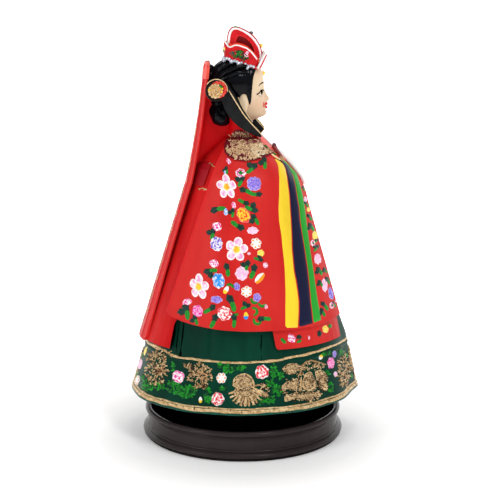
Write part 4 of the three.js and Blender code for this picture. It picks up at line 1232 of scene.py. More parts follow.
# Middle in picture pixels, first angle and sweep
SLEEVE_CURLS = (
    (253.6, 311.6, -1.6, 3.6), (257.4, 320.4, 2.6, 3.6), (229.5, 288, 2.4, -2.4), (237, 318, 1.2, 2.6),
    (262.4, 302.6, 3.3, 2.6), (255, 299.4, 2.8, 2.6)
)
for cx, cy, start, sweep in SLEEVE_CURLS:
    for layer in range(2):
        reach = 4.2 - 1.1 * layer
        line = []
        for k in range(8):
            a = start + sweep * k / 7
            line.append((cx + reach * math.cos(a), cy - reach * math.sin(a)))
        stroke(sleeve_flowers, on_sleeve, line, 1.3, (LEAF, BRIGHT_LEAF)[layer])
SLEEVE_MOTIFS = (
    ("plum", 226.8, 187, 21, 26, 0.35), ("plum", 236.8, 249.6, 24.5, 26, 0.12),
    ("plum", 198.9, 286.9, 21, 26, 0.2), ("purple", 254, 183.6, 15.5, 15.5, 0),
    ("rose_purple", 216.5, 244, 13.5, 16.5, 0.2), ("sun", 243.3, 215, 13, 18, 0.5),
    ("pink", 252.6, 230.5, 12.5, 8.5, 0), ("pink", 241.8, 273.4, 15.5, 15.5, -0.7),
    ("blue", 218.6, 280.6, 13.5, 17.5, 0.2), ("rose_red", 224.6, 313.6, 15, 16, 0.8),
    ("rose_magenta", 197.6, 311, 11.5, 13.5, 0.2), ("dots", 256, 243.4, 11.5, 12, 0.3),
    ("dots", 246.6, 291.6, 12, 12, 0.5), ("crescent", 259.8, 278.2, 14, 7.5, 0.85),
    ("green_eye", 240.6, 173.2, 11.5, 10.5, 0), ("magenta_white", 217, 226.6, 10.5, 10, -0.6),
    ("magenta_white", 187, 302, 10.5, 7.5, 0.2), ("magenta_white", 214, 263.6, 10.5, 8.5, -0.4),
    ("bud", 228.8, 161.6, 6, 8.5, 0.5), ("bud", 233.8, 205.6, 7, 9, 0.2),
    ("bluebud", 225.8, 212.4, 6.5, 9.5, 0.1), ("bluebud", 225, 172, 4, 5.5, 0),
    ("yellow", 260.6, 253.2, 8, 8, 0), ("yellow_drop", 225.7, 290.6, 7.5, 10.5, -0.5),
    ("blue_drop", 246, 316.5, 7.5, 9.5, 0), ("lilac", 236.9, 286.7, 7, 9.5, 0.3),
    ("lilac", 257, 297.6, 8.5, 10, 0), ("lilac", 216.3, 299.6, 13, 8.5, -0.1),
    ("bud", 265.6, 265.6, 7.5, 7.5, 0.4), ("bud", 266, 307, 5.5, 6.5, 0.2),
    ("pink", 249, 253.5, 3.6, 3.6, 0)
)
for kind, cx, cy, w, h, turn in SLEEVE_MOTIFS:
    motif(sleeve_flowers, on_sleeve, cx, cy, w, h, kind, turn)
FRONT_LEAVES = (
    (303.3, 188.4, 4, 1.6), (306.4, 204, 5, 1.8), (309.6, 217, 6, 1.9), (311.5, 226.5, 7, 1.8),
    (316.6, 248.2, 6, 0.6), (319.7, 270.6, 7, 1.8), (325.4, 270, 5, 1.8), (320.6, 283, 6, 1.8),
    (328, 280, 6, 1.7), (324.8, 305.4, 8, 1.9), (323, 312, 7, 1.7), (316.4, 241, 4, 0.4), (334, 304, 5, 1.8)
)
for cx, cy, size, turn in FRONT_LEAVES:
    leaves(sleeve_flowers, on_sleeve, cx, cy, size, turn)
FRONT_MOTIFS = (
    ("magenta_white", 305.4, 199.3, 4, 6, 0), ("yellow", 308.4, 209.5, 3.6, 5, 0),
    ("yellow", 314.9, 235.7, 5.6, 11, 0.1), ("green_eye", 312.8, 243, 5, 7, 0),
    ("pink", 317.7, 258.9, 7.8, 12, 0.1), ("pink", 324.6, 285, 6.6, 15, 0.1),
    ("lilac", 330.8, 293.6, 5.4, 14, 0.2), ("green_eye", 331.8, 305.4, 5, 7, 0),
    ("bud", 335.6, 301, 3, 4, 0)
)
for kind, cx, cy, w, h, turn in FRONT_MOTIFS:
    motif(sleeve_flowers, on_sleeve, cx, cy, w, h, kind, turn)
make_pair("sleeve_embroidery", sleeve_flowers, thread_finish, slot="sleeve_red", **PAINTED)

# Flowers on the front flaps of the robe
flap_flowers = Work()
on_flap = seen(tree_of(work_of("robe_front_right")))
FLAP_MOTIFS = (
    ("leaf", 283.3, 340.8, 8, 6, -0.8), ("magenta_white", 291.6, 338.4, 8, 10.5, 0.6),
    ("dark_leaf", 299, 337, 7, 6, 0), ("leaf", 299.2, 341.4, 6, 4.5, 0.4), ("bud", 309, 338, 3, 5, 0),
    ("dark_leaf", 319.5, 333.4, 6, 8.5, 0), ("yellow", 325.4, 329, 6.5, 9, 0.2),
    ("leaf", 330, 326, 4, 7, 0.3)
)
for kind, cx, cy, w, h, turn in FLAP_MOTIFS:
    motif(flap_flowers, on_flap, cx, cy, w, h, kind, turn)
make_pair("flap_flowers", flap_flowers, thread_finish, slot="robe_red", **PAINTED)

# Shoulder pieces: gold lace over maroon
lace = Work()
on_patch = seen(tree_of(work_of("shoulder_patch_right", "collar")))
patch_ground = Work()
PATCH_OUTLINE = [
    (231, 133), (235, 129), (241, 129), (246, 131), (250, 134), (254, 137), (257, 140), (258, 144),
    (250, 145.5), (238, 145.5), (228.6, 145), (228.4, 139)
]


def near_patch(px, py):
    """The patch at a picture point, or just above or below it where the cloth's edge lies between."""
    for step in (0, 1, -1, 2, -2, 3, -3, 4, -4):
        hit = on_patch(px, py + step)
        if hit:
            return hit
    return None


painted_area(patch_ground, near_patch, PATCH_OUTLINE, 0.3, (srgb(84, 6, 20), srgb(112, 12, 28)))
make_pair("patch_upper", patch_ground, thread_finish, slot="patch_gold", **PAINTED)
CREAM, TAN = srgb(226, 192, 150), srgb(206, 158, 126)
# Middle, width and height in picture pixels, number, length and thickness of strokes, tints, bend and lift
LACE_SPOTS = (
    (244.5, 148, 37, 24, 220, 4.2, 0.85, (CREAM, PALE_GOLD, CREAM, TAN), 2.2, 0.4),
    (258, 150.5, 15, 13, 60, 4.0, 0.75, (PALE_GOLD, srgb(250, 240, 215)), 2.2, 0.45),
    (241, 138, 25, 12, 95, 3.4, 0.75, (CREAM, PALE_GOLD, GOLD, TAN), 2.0, 0.55),
    (246, 132.6, 22, 6, 16, 2.6, 0.7, (srgb(214, 150, 130), CREAM, srgb(170, 110, 90)), 1.2, 0.45),
    (268.4, 150.8, 9, 5.4, 34, 3.0, 0.75, (CREAM, PALE_GOLD, TAN), 2.0, 0.4),
)
for spot in LACE_SPOTS:
    scribble(lace, on_patch, *spot)
make_pair("shoulder_lace", lace, lace_finish, slot="patch_gold", **PAINTED)

# Belt behind: gold lines at its two ends
belt_lines = Work()
on_back = seen(tree_of(work_of("robe_back", "belt_back")))
BELT_LINES = (
    [(209.2, 163.4), (212, 165.2), (214.8, 167)], [(209.8, 162.6), (212.4, 164.2)],
    [(198.4, 188.8), (202.6, 188.2), (207, 189)], [(199, 190), (200.6, 188.4)], [(203.6, 190), (207, 189.4)]
)
for line in BELT_LINES:
    stroke(belt_lines, on_back, line, 0.9, rng.choice((GOLD, PALE_GOLD)))
make_pair("belt_gold", belt_lines, lace_finish, slot="patch_gold", **PAINTED)

# Back ribbon: it lies on the robe up to the chest, then bows out on its way to the top
RIBBON_FOOT, RIBBON_TOP = 62.4, 230.0
# The robe's depth inside the outermost cloth, and the ribbon's distance from the robe
ROBE_INSET, RIBBON_GAP = 3.0, 0.6
RIBBON_BOW, RIBBON_TOP_REACH = 24.5, 21.3
FOOT_HALF, TOP_HALF, FLAT_FROM = 20.5, 13.0, 65


def ribbon_reach(height):
    lean = clamp((height - RIBBON_FOOT) / (CHEST_HEIGHT - RIBBON_FOOT))
    on_robe = gown(min(height, CHEST_HEIGHT), "back") - ROBE_INSET + RIBBON_GAP + lean
    if height <= CHEST_HEIGHT:
        return on_robe
    share = (height - CHEST_HEIGHT) / (RIBBON_TOP - CHEST_HEIGHT)
    return (1 - share) ** 2 * on_robe + 2 * share * (1 - share) * RIBBON_BOW + share**2 * RIBBON_TOP_REACH


def ribbon_corner(height, across, out):
    """across from -1 to 1 over the ribbon's width."""
    share = (height - RIBBON_FOOT) / (RIBBON_TOP - RIBBON_FOOT)
    end = clamp((RIBBON_TOP - height) / 6)
    half = mix(FOOT_HALF, TOP_HALF, share) * (0.5 + 0.5 * math.sqrt(end)) + 0.2
    foot = clamp((height - RIBBON_FOOT) / 2.5)
    half *= 0.95 + 0.05 * math.sqrt(foot)
    flatness = clamp((height - FLAT_FROM) / (CHEST_HEIGHT - FLAT_FROM))
    bend = mix(gown(RIBBON_FOOT, "side") - ROBE_INSET, 2.2 * half, flatness)
    side = across * half
    curve = mix(1, math.sqrt(max(0.0, 1 - (side / bend) ** 2)), mix(1, 0.8, flatness))
    pleat = 0.35 * (math.cos(across * 9) - 1) * clamp((height - 63) / 20) if out > 1 else 0
    return up(-(ribbon_reach(height) + out + pleat) * curve, height, side)


def tip_share(height):
    return clamp((height - 224.5) / 5.5) ** 2


ribbon_levels = [62.4, 62.8, 63.6, 64.9] + [66.5 + 4 * k for k in range(40)]
ribbon_levels += [224, 226.5, 228, 229, 229.6, 230]
ribbon_work = Work()


def ribbon_skin(levels, out, tip_out, widen=1):
    """Rows of the ribbon at a distance from the robe, and at another one at its tip."""
    across = [(c / 12 - 1) * widen for c in range(25)]
    rows = []
    for height in levels:
        reach = mix(out, tip_out, tip_share(height))
        rows.append([ribbon_corner(height, a, reach) for a in across])
    return rows


slab(ribbon_work, ribbon_skin(ribbon_levels, 2.0, 1.25), ribbon_skin(ribbon_levels, 0.0, 0.95), RED)
make(
    "long_back_ribbon", ribbon_work, ribbon_finish, slot="ribbon_red", stands_for=("back_ribbon",),
    bevel=0.7
)
fill_work = Work()
FILL_FRONT = [
    (160, -28), (172, -22.5), (178, -16.5), (184, -8.6), (186.5, -5), (200, -5), (204, -8), (212, -15),
    (226, -15)
]
FILL_FOOT, FILL_TOP = 160, 226
fill_rings = []
for k in range(45):
    height = mix(FILL_FOOT, FILL_TOP, k / 44)
    front, behind = table(FILL_FRONT, height), -ribbon_reach(height) - 0.6
    ring = []
    for a in full_turn(32):
        share = 0.5 + 0.5 * bent(math.cos(a), 0.5)
        side = bent(math.sin(a), 0.5) * mix(6.4, 4.6, share)
        ring.append(up(mix(behind, front, share), height, side))
    fill_rings.append(ring)
loft(fill_work, fill_rings, DEEP_RED)
make("ribbon_fill", fill_work, deep_finish, slot="ribbon_red", sharp=50)
# Painted highlights: lighter red lines along both edges of the ribbon and along a fold crest on each side
ribbon_highlight_work = Work()
for side in (-1, 1):
    line = [ribbon_corner(height, side * 0.985, 1.6) for height in ribbon_levels[2:-3]]
    cord(ribbon_highlight_work, line, 0.5, srgb(214, 50, 44))
    fold = [ribbon_corner(height, side * 0.72, 2.0) for height in ribbon_levels[2:-3]]
    cord(ribbon_highlight_work, fold, 0.42, srgb(206, 38, 36))
make("ribbon_edge_highlights", ribbon_highlight_work, thread_finish, slot="ribbon_red", **PAINTED)
# Painted highlight: the ribbon's rounded top in a lighter coral red, where the light falls on it
tip_highlight_work = Work()
tip_levels = [219.6, 220.4, 222, 224, 226, 227.6, 228.8, 229.6]
slab(tip_highlight_work, ribbon_skin(tip_levels, 2.3, 1.4, 1.03), ribbon_skin(tip_levels, -0.3, 0.85, 1.03), CORAL)
make("ribbon_tip_highlight", tip_highlight_work, thread_finish, slot="ribbon_red", bevel=0.5)
stamp_work = Work()
ribbon_tree = tree_of(ribbon_work)
for height in range(68, 209, 20):
    spot = around(ribbon_tree, math.pi, height)
    filigree(stamp_work, spot, 0, 0, 10, 10, 90, 2.0, 0.75, GILT, (0.1, 0.16))
    for side in (-1, 1):
        motif(stamp_work, spot, side * 7.5, 9.5, 3.2, 4.4, "gold_leaf", side * 0.9)
make("ribbon_gold_stamps", stamp_work, gold_finish, slot="patch_gold", **PAINTED)

# Head: profile along the middle of the face, and the face beside it
MID_PROFILE = [
    (194.6, 6.2), (195.5, 8.0), (196.3, 11.0), (197.3, 13.2), (198.5, 14.3), (200, 14.2), (201.2, 13.9),
    (202.3, 14.9), (203.3, 14.4), (204.4, 15.1), (205.4, 14.5), (206.5, 15.6), (207.5, 16.1), (208.6, 15.6),
    (210.5, 14.4), (212.5, 13.4), (214.5, 13.0), (217, 12.8), (219.3, 12.6), (223, 12.1), (226, 10.3),
    (228, 7.0), (229.4, 2.5)
]
SIDE_PROFILE = [
    (194.6, 6.0), (195.5, 7.2), (196.3, 9.2), (197.3, 11.2), (198.5, 12.4), (200.4, 13.0), (203, 13.3),
    (206, 13.1), (209, 12.9), (212, 12.2), (214.5, 11.7), (217, 11.9), (220, 12.0), (223, 11.4), (226, 9.8),
    (228, 7.0), (229.4, 2.5)
]
BACK_PROFILE = [
    (181, 6), (194, 6.2), (200, 8), (206, 10), (212, 11), (218, 11.4), (224, 10), (228, 6.5), (229.4, 2.5)
]
BREADTH = [
    (181, 5.8), (194, 5.9), (196.2, 6.3), (197.6, 7.4), (199.5, 8.8), (202, 10.1), (206, 11.3), (210, 11.9),
    (214, 12.0), (218, 11.9), (223, 11.0), (226, 9.2), (228, 6.6), (229.4, 2.5)
]
NECK = [(181, 6.6), (192, 6.4), (194.6, 6.2)]
CHIN_HEIGHT = 194.6
# How wide the middle profile reaches aside: narrow at the nose, wide at brow and chin
MIDDLE_WIDTH = [(198, 4.5), (202, 3.6), (205, 2.0), (208, 1.7), (211, 1.2), (216, 3), (225, 5)]


def head_corner(angle, height):
    side = eased(BREADTH, height)
    c, s = math.cos(angle), math.sin(angle)
    if c <= 0:
        return up(eased(BACK_PROFILE, height) * c, height, side * s)
    beside = eased(SIDE_PROFILE, height) if height > CHIN_HEIGHT else table(NECK, height)
    middle = eased(MID_PROFILE, height) if height > CHIN_HEIGHT else table(NECK, height)
    squared = c**0.86
    across = side * s
    width = table(MIDDLE_WIDTH, height)
    forward = beside * squared + (middle - beside) * math.exp(-((across / width) ** 2))
    socket = math.exp(-(((height - 213.6) / 2.4) ** 2) - ((abs(across) - 4.8) / 2.2) ** 2)
    cheek = math.exp(-(((height - 206) / 3.4) ** 2) - ((abs(across) - 6.4) / 3.2) ** 2)
    return up(forward - 0.7 * socket + 0.35 * cheek, height, across)


head_work = Work()
head_levels = [181, 184, 187, 190, 192.5, 194.6] + [195.2 + 0.5 * k for k in range(62)]
head_levels += [226.4, 227.2, 228, 228.7, 229.2, 229.4]
head_rings = [[head_corner(a, height) for a in full_turn(96)] for height in head_levels]
# Painted shade on the skin: darker towards the jaw, under the chin and at the back of the neck; the cheeks
# get a painted blush
JAW_SHADE, UNDER_CHIN_SHADE, NECK_BACK_SHADE = srgb(150, 110, 84), srgb(204, 162, 126), srgb(60, 2, 10)
head_tints = []
for ring in head_rings:
    for corner in ring:
        cheek = math.exp(-(((corner.z - 204.5) / 4.2) ** 2) - (((-corner.y) - 9.0) / 4.6) ** 2)
        under_chin_shade = clamp((198 - corner.z) / 4)
        neck_back_shade = clamp((204 - corner.z) / 2) * clamp((1.5 + corner.y) / 2)
        low = clamp((212 - corner.z) / 14)
        flesh = tone(SKIN, BLUSH, 0.25 * cheek)
        flesh = tone(flesh, JAW_SHADE, 0.34 * low)
        flesh = tone(flesh, UNDER_CHIN_SHADE, 0.5 * under_chin_shade)
        head_tints.append(tone(flesh, NECK_BACK_SHADE, neck_back_shade))
loft(head_work, head_rings, head_tints)


EAR_FORWARD, EAR_HEIGHT, EAR_RIGHT = 0.6, 205.0, 12.0


def ear_shape(work, side):
    """An ear: a long bead with a smaller one on it, tinted darker as painted shade in its hollow."""
    centre = up(EAR_FORWARD, EAR_HEIGHT, side * EAR_RIGHT)
    for radius, inset, tint in ((1.0, 0.0, SKIN), (0.62, 0.55, srgb(214, 170, 130))):
        rings = []
        for r in range(13):
            tall = math.pi * (r / 12 - 0.5)
            ring = []
            reach = max(0.03, math.cos(tall))
            lean = 0.9 * math.sin(tall)
            lobe = 0.82 if math.sin(tall) < 0 else 1.0
            for a in full_turn(20):
                ring.append(centre + up(
                    2.9 * lobe * radius * reach * math.cos(a) - 0.3 * lean,
                    5.8 * radius * math.sin(tall) + (0.2 if inset else 0),
                    side * (1.5 * radius * reach * math.sin(a) + inset),
                ))
            rings.append(ring)
        loft(work, rings, tint)


ear_shape(head_work, 1)
ear_shape(head_work, -1)
make("doll_head", head_work, skin_finish, slot="skin_paint", stands_for=("head",), sharp=0)
head_tree = tree_of(head_work)


def on_face(px, py):
    """The face under a picture point, or the nearest of it just behind the profile."""
    for k in range(16):
        hit = seen(head_tree)(px - 0.3 * k, py)
        if hit:
            return hit
    return None


face_work, ink_work = Work(), Work()
LIP = srgb(206, 16, 34)
INK = srgb(3, 3, 5)
# Eye, brow, lips and nostril: picture points, width in millimetres, tint and lift
FACE_STROKES = (
    ([(259.2, 94.2), (260.4, 94.9), (261.6, 95.1)], 0.7, WHITE, 0.12),
    ([(261.0, 90.0), (261.4, 92.2), (261.4, 94.8)], 2.6, INK, 0.3),
    ([(262.0, 90.0), (262.4, 91.6), (262.4, 93.4)], 1.7, INK, 0.3),
    (
        [(256.4, 94.8), (257.6, 94.0), (259.2, 92.8), (261.0, 90.8), (262.8, 90.0), (264.0, 90.6)], 1.3,
        INK, 0.34
    ),
    ([(258.4, 95.4), (260, 96.2), (261.8, 96.0)], 0.5, srgb(120, 80, 60), 0.14),
    ([(258.6, 86.4), (259.6, 84.8), (261.2, 83.2), (263, 82.4), (264.4, 82.8)], 1.3, INK, 0.24),
    ([(263.9, 102.2), (263.4, 103.4), (263.2, 105.4), (263.7, 106.8)], 1.7, LIP, 0.3),
    ([(266.4, 99.4), (267.6, 100.0)], 0.6, srgb(190, 120, 90), 0.1)
)
for points, width, tint, lift in FACE_STROKES:
    stroke(ink_work if tint == INK else face_work, on_face, points, width, tint, lift)
# Upper and lower lip seen from in front, in millimetres
LIP_LINES = (
    ([(-3.8, 0.0), (-1.3, -1.05), (0, -0.7), (1.3, -1.05), (3.8, 0.0)], 1.7),
    ([(-3.5, 0.4), (-1.4, 1.25), (0, 1.45), (1.4, 1.25), (3.5, 0.4)], 1.9)
)
for line, width in LIP_LINES:
    reach = line[-1][0]
    lip = [(reach * k / 10, table(line, reach * k / 10)) for k in range(-10, 11)]
    stroke(face_work, around(head_tree, 0.0, 203.7), lip, width, LIP, 0.3)
make_pair("face_paint", face_work, thread_finish, slot="bead_dark", **PAINTED)
make_pair("face_ink", ink_work, black_finish, slot="bead_dark", **PAINTED)

# Hair: middle (forward, height), reach forward, aside and up, and its lower edge by distance forward
HAIR_CENTRE, HAIR_REACH = (-4.8, 216.6), (16.6, 14.4, 15.3)
HAIRLINE = [
    (-24, 202.5), (-6, 202.8), (-2.6, 205), (-1.6, 208.2), (-0.4, 210.4), (1.4, 210.9), (2.9, 209.8),
    (3.8, 206.5), (4.6, 203.8), (5.1, 205), (5.5, 211), (5.9, 215.5), (6.5, 219.7), (7.3, 222.6),
    (8.6, 226.0), (12, 227.4)
]


def hair_corner(around_angle, tall, grow=1.0):
    """A corner of the hair in one direction, outside the head, with combed strands on its outer skin."""
    c = math.cos(tall)
    arm = up(
        HAIR_REACH[0] * c * math.cos(around_angle),
        HAIR_REACH[2] * math.sin(tall),
        HAIR_REACH[1] * c * math.sin(around_angle),
    )
    centre = up(HAIR_CENTRE[0], HAIR_CENTRE[1])
    skull = head_tree.ray_cast(centre, arm.normalized())
    far = max(arm.length, skull[3] + 1.1) if skull[0] else arm.length
    strand = math.sin(34 * around_angle + 5 * math.sin(tall * 2.2)) + 1.2 * noise.noise(
        Vector((around_angle * 2.2, tall * 1.6, 5))
    )
    ripple = 0.16 * strand * clamp((tall - 0.15) * 1.6) if grow == 1.0 else 0
    return centre + arm.normalized() * (far * grow + ripple)


def hair_foot(around_angle):
    """Lowest elevation of the hair in one direction."""
    tall = math.pi / 2
    while tall > -1.45:
        corner = hair_corner(around_angle, tall)
        if corner.z < table(HAIRLINE, -corner.y):
            return tall
        tall -= 0.008
    return tall


hair_work = Work()
hair_columns = 240
feet = [hair_foot(a) for a in full_turn(hair_columns)]
hair_rows = 40
outer, inner = [], []
for r in range(hair_rows + 1):
    share = r / hair_rows
    outer.append([])
    inner.append([])
    for a, foot in zip(full_turn(hair_columns), feet):
        tall = mix(foot, math.pi / 2 - 0.02, share)
        tuck = 1 - 0.035 * (1 - clamp(share * 14)) ** 2
        outer[-1].append(hair_corner(a, tall, tuck if tuck < 0.999 else 1.0))
        inner[-1].append(hair_corner(a, tall, 0.86))
loft(hair_work, list(reversed(inner)) + outer, BLACK)
# Locks over the plain shape: forward, height and distance aside
LOCKS = (
    [(4.5, 226.6, 10.4), (0, 227.4, 12.0), (-6, 225.4, 13.4), (-12, 221.4, 12.4), (-16.6, 216.6, 10.4)],
    [(2.5, 223.6, 12.6), (-3, 223.4, 14.0), (-9, 220.6, 13.9), (-14, 216.8, 12.2)],
    [(-1, 229.4, 8.6), (-7, 228.6, 10.2), (-13, 225.0, 10.2), (-17.6, 219.5, 8.4)],
    [(-10, 229.8, 5.5), (-15.5, 226.6, 6), (-19.6, 221, 5.6), (-20.8, 214.6, 5.2)],
)


def lock_size(t):
    return 0.4 + 0.75 * math.sin(math.pi * clamp(t, 0.04, 0.96))


for line in LOCKS:
    for side in (1, -1):
        points = flowing([up(f, h, side * r) for f, h, r in line], 6)
        cord(hair_work, points, lock_size, BLACK, sides=10)
# Two plaits down the back
for side in (1, -1):
    for k in range(4):
        twist = Matrix.Rotation(0.5 * side, 3, "X")
        centre = up(-19.3 + 0.25 * k * k, 225.6 - 3.6 * k, side * (3.6 + 0.5 * k))
        bead(hair_work, centre, 1, BLACK, 16, 10, (3.6, 2.1, 2.5), twist)
make("dressed_hair", hair_work, hair_finish, slot="hair_black", stands_for=("hair",), sharp=0)

# Chignon: a twisted knot
knot_work = Work()
rings = []
for r in range(31):
    tall = math.pi * (r / 30 - 0.5)
    ring = []
    for a in full_turn(48):
        groove = 1 + 0.05 * math.cos(7 * a + 5 * tall) + 0.03 * math.cos(3 * a - 2 * tall)
        reach = max(0.02, math.cos(tall)) ** 0.8 * groove
        swell = 1 - 0.16 * math.sin(tall)
        ring.append(up(
            -14.2 + 6.9 * reach * swell * math.cos(a) - 1.6 * math.sin(tall),
            198.6 + 8.0 * math.sin(tall),
            9.8 * reach * swell * math.sin(a),
        ))
    rings.append(ring)
loft(knot_work, rings, BLACK)
bead(knot_work, up(-15.4, 205.4, 0), 1, BLACK, 28, 14, (8.5, 4.6, 4.6))
make("twisted_knot", knot_work, hair_finish, slot="hair_black", stands_for=("chignon",), sharp=0)

# Hairpin ends: places (forward, height) of the pin, its flower knob and the coral beads behind the knob
PIN = (-15.3, 213.4)
KNOB = (PIN[0] - 0.5, PIN[1] - 0.3)
CORAL_BACK = (PIN[0] + 1.3, PIN[1] + 0.7)
KNOB_FACE, DOME_RADIUS, DOME_RISE = 25.2, 3.9, 2.0


def round_spot(centre, reach, a, right):
    """A point at an angle round a (forward, height) centre."""
    return up(centre[0] + reach * math.cos(a), centre[1] + reach * math.sin(a), right)


knob_work = Work()
for k, a in enumerate(full_turn(14)):
    coral = tone(CORAL, srgb(196, 30, 34), 0.25 + 0.3 * (k % 2))
    bead(knob_work, round_spot(CORAL_BACK, 3.9, a, 24.6), 1, coral, 10, 6, (1.0, 1.3, 1.3))
for a in full_turn(12):
    tint = tone(GOLD, PALE_GOLD, rng.random())
    bead(knob_work, round_spot(KNOB, 3.3, a, KNOB_FACE), 1, tint, 10, 6, (1.2, 1.2, 1.2))
bead(knob_work, up(KNOB[0], KNOB[1], KNOB_FACE), 1, GOLD, 24, 12, (DOME_RISE, DOME_RADIUS, DOME_RADIUS))
GRAINS = (GOLD, PALE_GOLD, PALE_GOLD, DARK_GOLD, srgb(226, 150, 90))
for _ in range(44):
    a = rng.random() * 2 * math.pi
    far = 3.6 * math.sqrt(rng.random())
    out = KNOB_FACE + DOME_RISE * math.sqrt(max(0.0, 1 - (far / DOME_RADIUS) ** 2))
    bead(knob_work, round_spot(KNOB, far, a, out), 0.42, rng.choice(GRAINS), 6, 4)
KNOB_DOTS = (
    (2.3, 3.0, LEAF), (3.5, 1.2, YELLOW), (2.9, -0.6, YELLOW), (-4.3, 0.6, YELLOW), (3.0, 2.2, BRIGHT_LEAF)
)
for forward, height, colour in KNOB_DOTS:
    bead(knob_work, up(PIN[0] + forward, PIN[1] + height, 26.3), 0.62, colour, 8, 6)
make_pair("flower_knob", knob_work, lace_finish, node="hairpin_knob", slot="pin_gold", sharp=0)
ring_work = Work()
cord(ring_work, [round_spot(PIN, 5.7, a, 24.4) for a in full_turn(40)], 0.75, BLACK, ring=True)
make_pair("pin_ring", ring_work, charcoal_finish, slot="ribbon_black", sharp=0)
ring_gold = Work()
arc = [math.radians(d) for d in range(-4, 150, 6)]
cord(ring_gold, [round_spot(PIN, 6.5, a, 24.7) for a in arc], 0.28, PALE_GOLD)
make_pair("pin_ring_gold", ring_gold, lace_finish, slot="pin_gold", sharp=0)


# Front ribbons: a broad band from the pin to the breast, a gold line along it
def at_reach(px, py, w):
    """The point of a picture line of sight at a distance to the figure's right."""
    ray = sight(px, py)
    return eye + ray * ((-w - eye.x) / ray.x)


def band(work, stations, thickness=1.0):
    """Stations give both edges in the picture and the reach to the right."""
    upper = flowing([at_reach(ax, ay, w) for ax, ay, bx, by, w in stations], 8)
    lower = flowing([at_reach(bx, by, w - 0.6) for ax, ay, bx, by, w in stations], 8)
    out = Vector((-1, -0.15, 0.25)).normalized()
    front, behind = [], []
    for a, b in zip(upper, lower):
        row, back = [], []
        for c in range(7):
            share = c / 6
            bow = 0.5 * math.sin(math.pi * share)
            row.append(a.lerp(b, share) + out * bow)
            back.append(a.lerp(b, share) + out * (bow - thickness))
        front.append(row)
        behind.append(back)
    slab(work, front, behind, CHARCOAL)
    return upper, lower


band_work, band_gold = Work(), Work()
# Both edges of the band in the picture, and its reach to the figure's right in millimetres
BAND_STATIONS = [
    (220, 79.5, 221, 97.5, 21.0), (226.5, 82.5, 222.5, 103, 20.6), (232, 90, 227, 113, 20.0),
    (238.5, 101, 233, 121, 19.0), (245, 112.5, 241, 128, 17.2), (251.5, 121.5, 250, 133, 14.6),
    (257, 128.5, 256.5, 136, 12.0), (261.6, 134.6, 261, 137.2, 10.0)
]
upper, lower = band(band_work, BAND_STATIONS)
gold_line = [a.lerp(b, 0.2) + Vector((-0.75, -0.1, 0.2)) for a, b in zip(upper, lower)]
cord(band_gold, gold_line, 0.34, PALE_GOLD, sides=6)
inner_work, inner_gold = Work(), Work()
INNER_STATIONS = [
    (238, 97.5, 236, 102, 17.4), (241.5, 106, 240, 111, 16.4), (246, 113.5, 244, 119, 15.0),
    (251, 121, 249, 126, 12.8)
]
END_STATIONS = [
    (255.8, 119.4, 251.6, 123.2, 8.6), (260.2, 124.2, 256, 127.6, 8.0), (264.4, 129.2, 260.6, 133.4, 7.4)
]
OUTWARDS = Vector((-0.3, 0, 0))
for stations in (INNER_STATIONS, END_STATIONS):
    upper, lower = band(inner_work, stations, 0.8)
    cord(inner_gold, [a + Vector((-0.3, -0.1, 0.2)) for a in upper], 0.28, PALE_GOLD, sides=6)
    if stations is END_STATIONS:
        cord(inner_gold, [a + OUTWARDS for a in lower], 0.24, PALE_GOLD, sides=6)
        cord(inner_gold, [upper[-1] + OUTWARDS, lower[-1] + OUTWARDS], 0.24, PALE_GOLD, sides=6)
make_pair("front_band", band_work, charcoal_finish, node="front_ribbon", slot="ribbon_black", bevel=0.2)
make_pair("front_band_inner", inner_work, charcoal_finish, slot="ribbon_black")
for name, work in (("front_band_gold", band_gold), ("front_band_inner_gold", inner_gold)):
    make_pair(name, work, lace_finish, slot="pin_gold", sharp=0)

# Breast opening: a coral inner collar with a white neck line, green and cream linings beside it
lapel_red, lapel_white = Work(), Work()
OPENING_FOOT, OPENING_TOP, CLOTH_TOP, LINING_TOP = 171, 188.2, 187.4, 187.6
OPENING_HALF = [(171, 0.45), (176, 0.72), (184, 0.8), (188.2, 0.9)]


def over_cloth(phi, height, top, inset):
    """A point on the cloth, or straight above its top."""
    return cloth(phi, min(height, top), inset) + up(0, max(0, height - top))


rows = []
for r in range(13):
    height = mix(OPENING_FOOT, OPENING_TOP, r / 12)
    half = table(OPENING_HALF, height)
    rows.append([over_cloth(mix(-half, half, c / 12), height, CLOTH_TOP, -0.5) for c in range(13)])
sheet(lapel_red, rows, CORAL)


def lining(work, points, tint, size=0.5, lift=0.7):
    """A cord on the cloth through pairs of angle and height, on both sides of the opening."""
    for side in (1, -1):
        line = [over_cloth(side * phi, height, LINING_TOP, -lift) for phi, height in points]
        cord(work, flowing(line, 5), size, tint)


lining(lapel_white, [(1.0, 188.8), (0.6, 188.4), (0.36, 186.6), (0.2, 183.6), (0.05, 179.4)], WHITE, 0.42)
lining(lapel_red, [(0.72, 180.5), (0.66, 177.4), (0.56, 174.6)], LEAF, 0.7, 0.5)
lining(lapel_white, [(0.86, 181.4), (0.80, 178.4), (0.70, 174.6), (0.56, 172)], srgb(250, 232, 176), 0.5)
make("inner_collar", lapel_red, crown_finish, slot="collar_paint", **PAINTED)
make("collar_edges", lapel_white, crown_finish, slot="white_paint", **PAINTED)

# Breast knot: a bead, a flat band down from it by angle and height, and a bead at its end
KNOT_LINE = ((0.24, 178.5), (0.3, 176.9), (0.38, 174.9), (0.44, 173.1))
knot = Work()
for side in (1, -1):
    bead(knot, cloth(side * 0.2, 178.9, -1.9), 1, MAROON, 14, 10, (1.5, 1.5, 1.5))
    line = [cloth(side * phi, height, -1.5) for phi, height in KNOT_LINE]
    cord(knot, flowing(line, 4), 1.7, srgb(146, 66, 62), flat=0.7)
    bead(knot, cloth(side * 0.48, 172.2, -0.8), 1, srgb(176, 136, 96), 12, 8, (1.6, 2.0, 1.8))
make("breast_knot", knot, thread_finish, slot="belt_red", sharp=0)

# White cloth over the joined hands
cloth_work = Work()
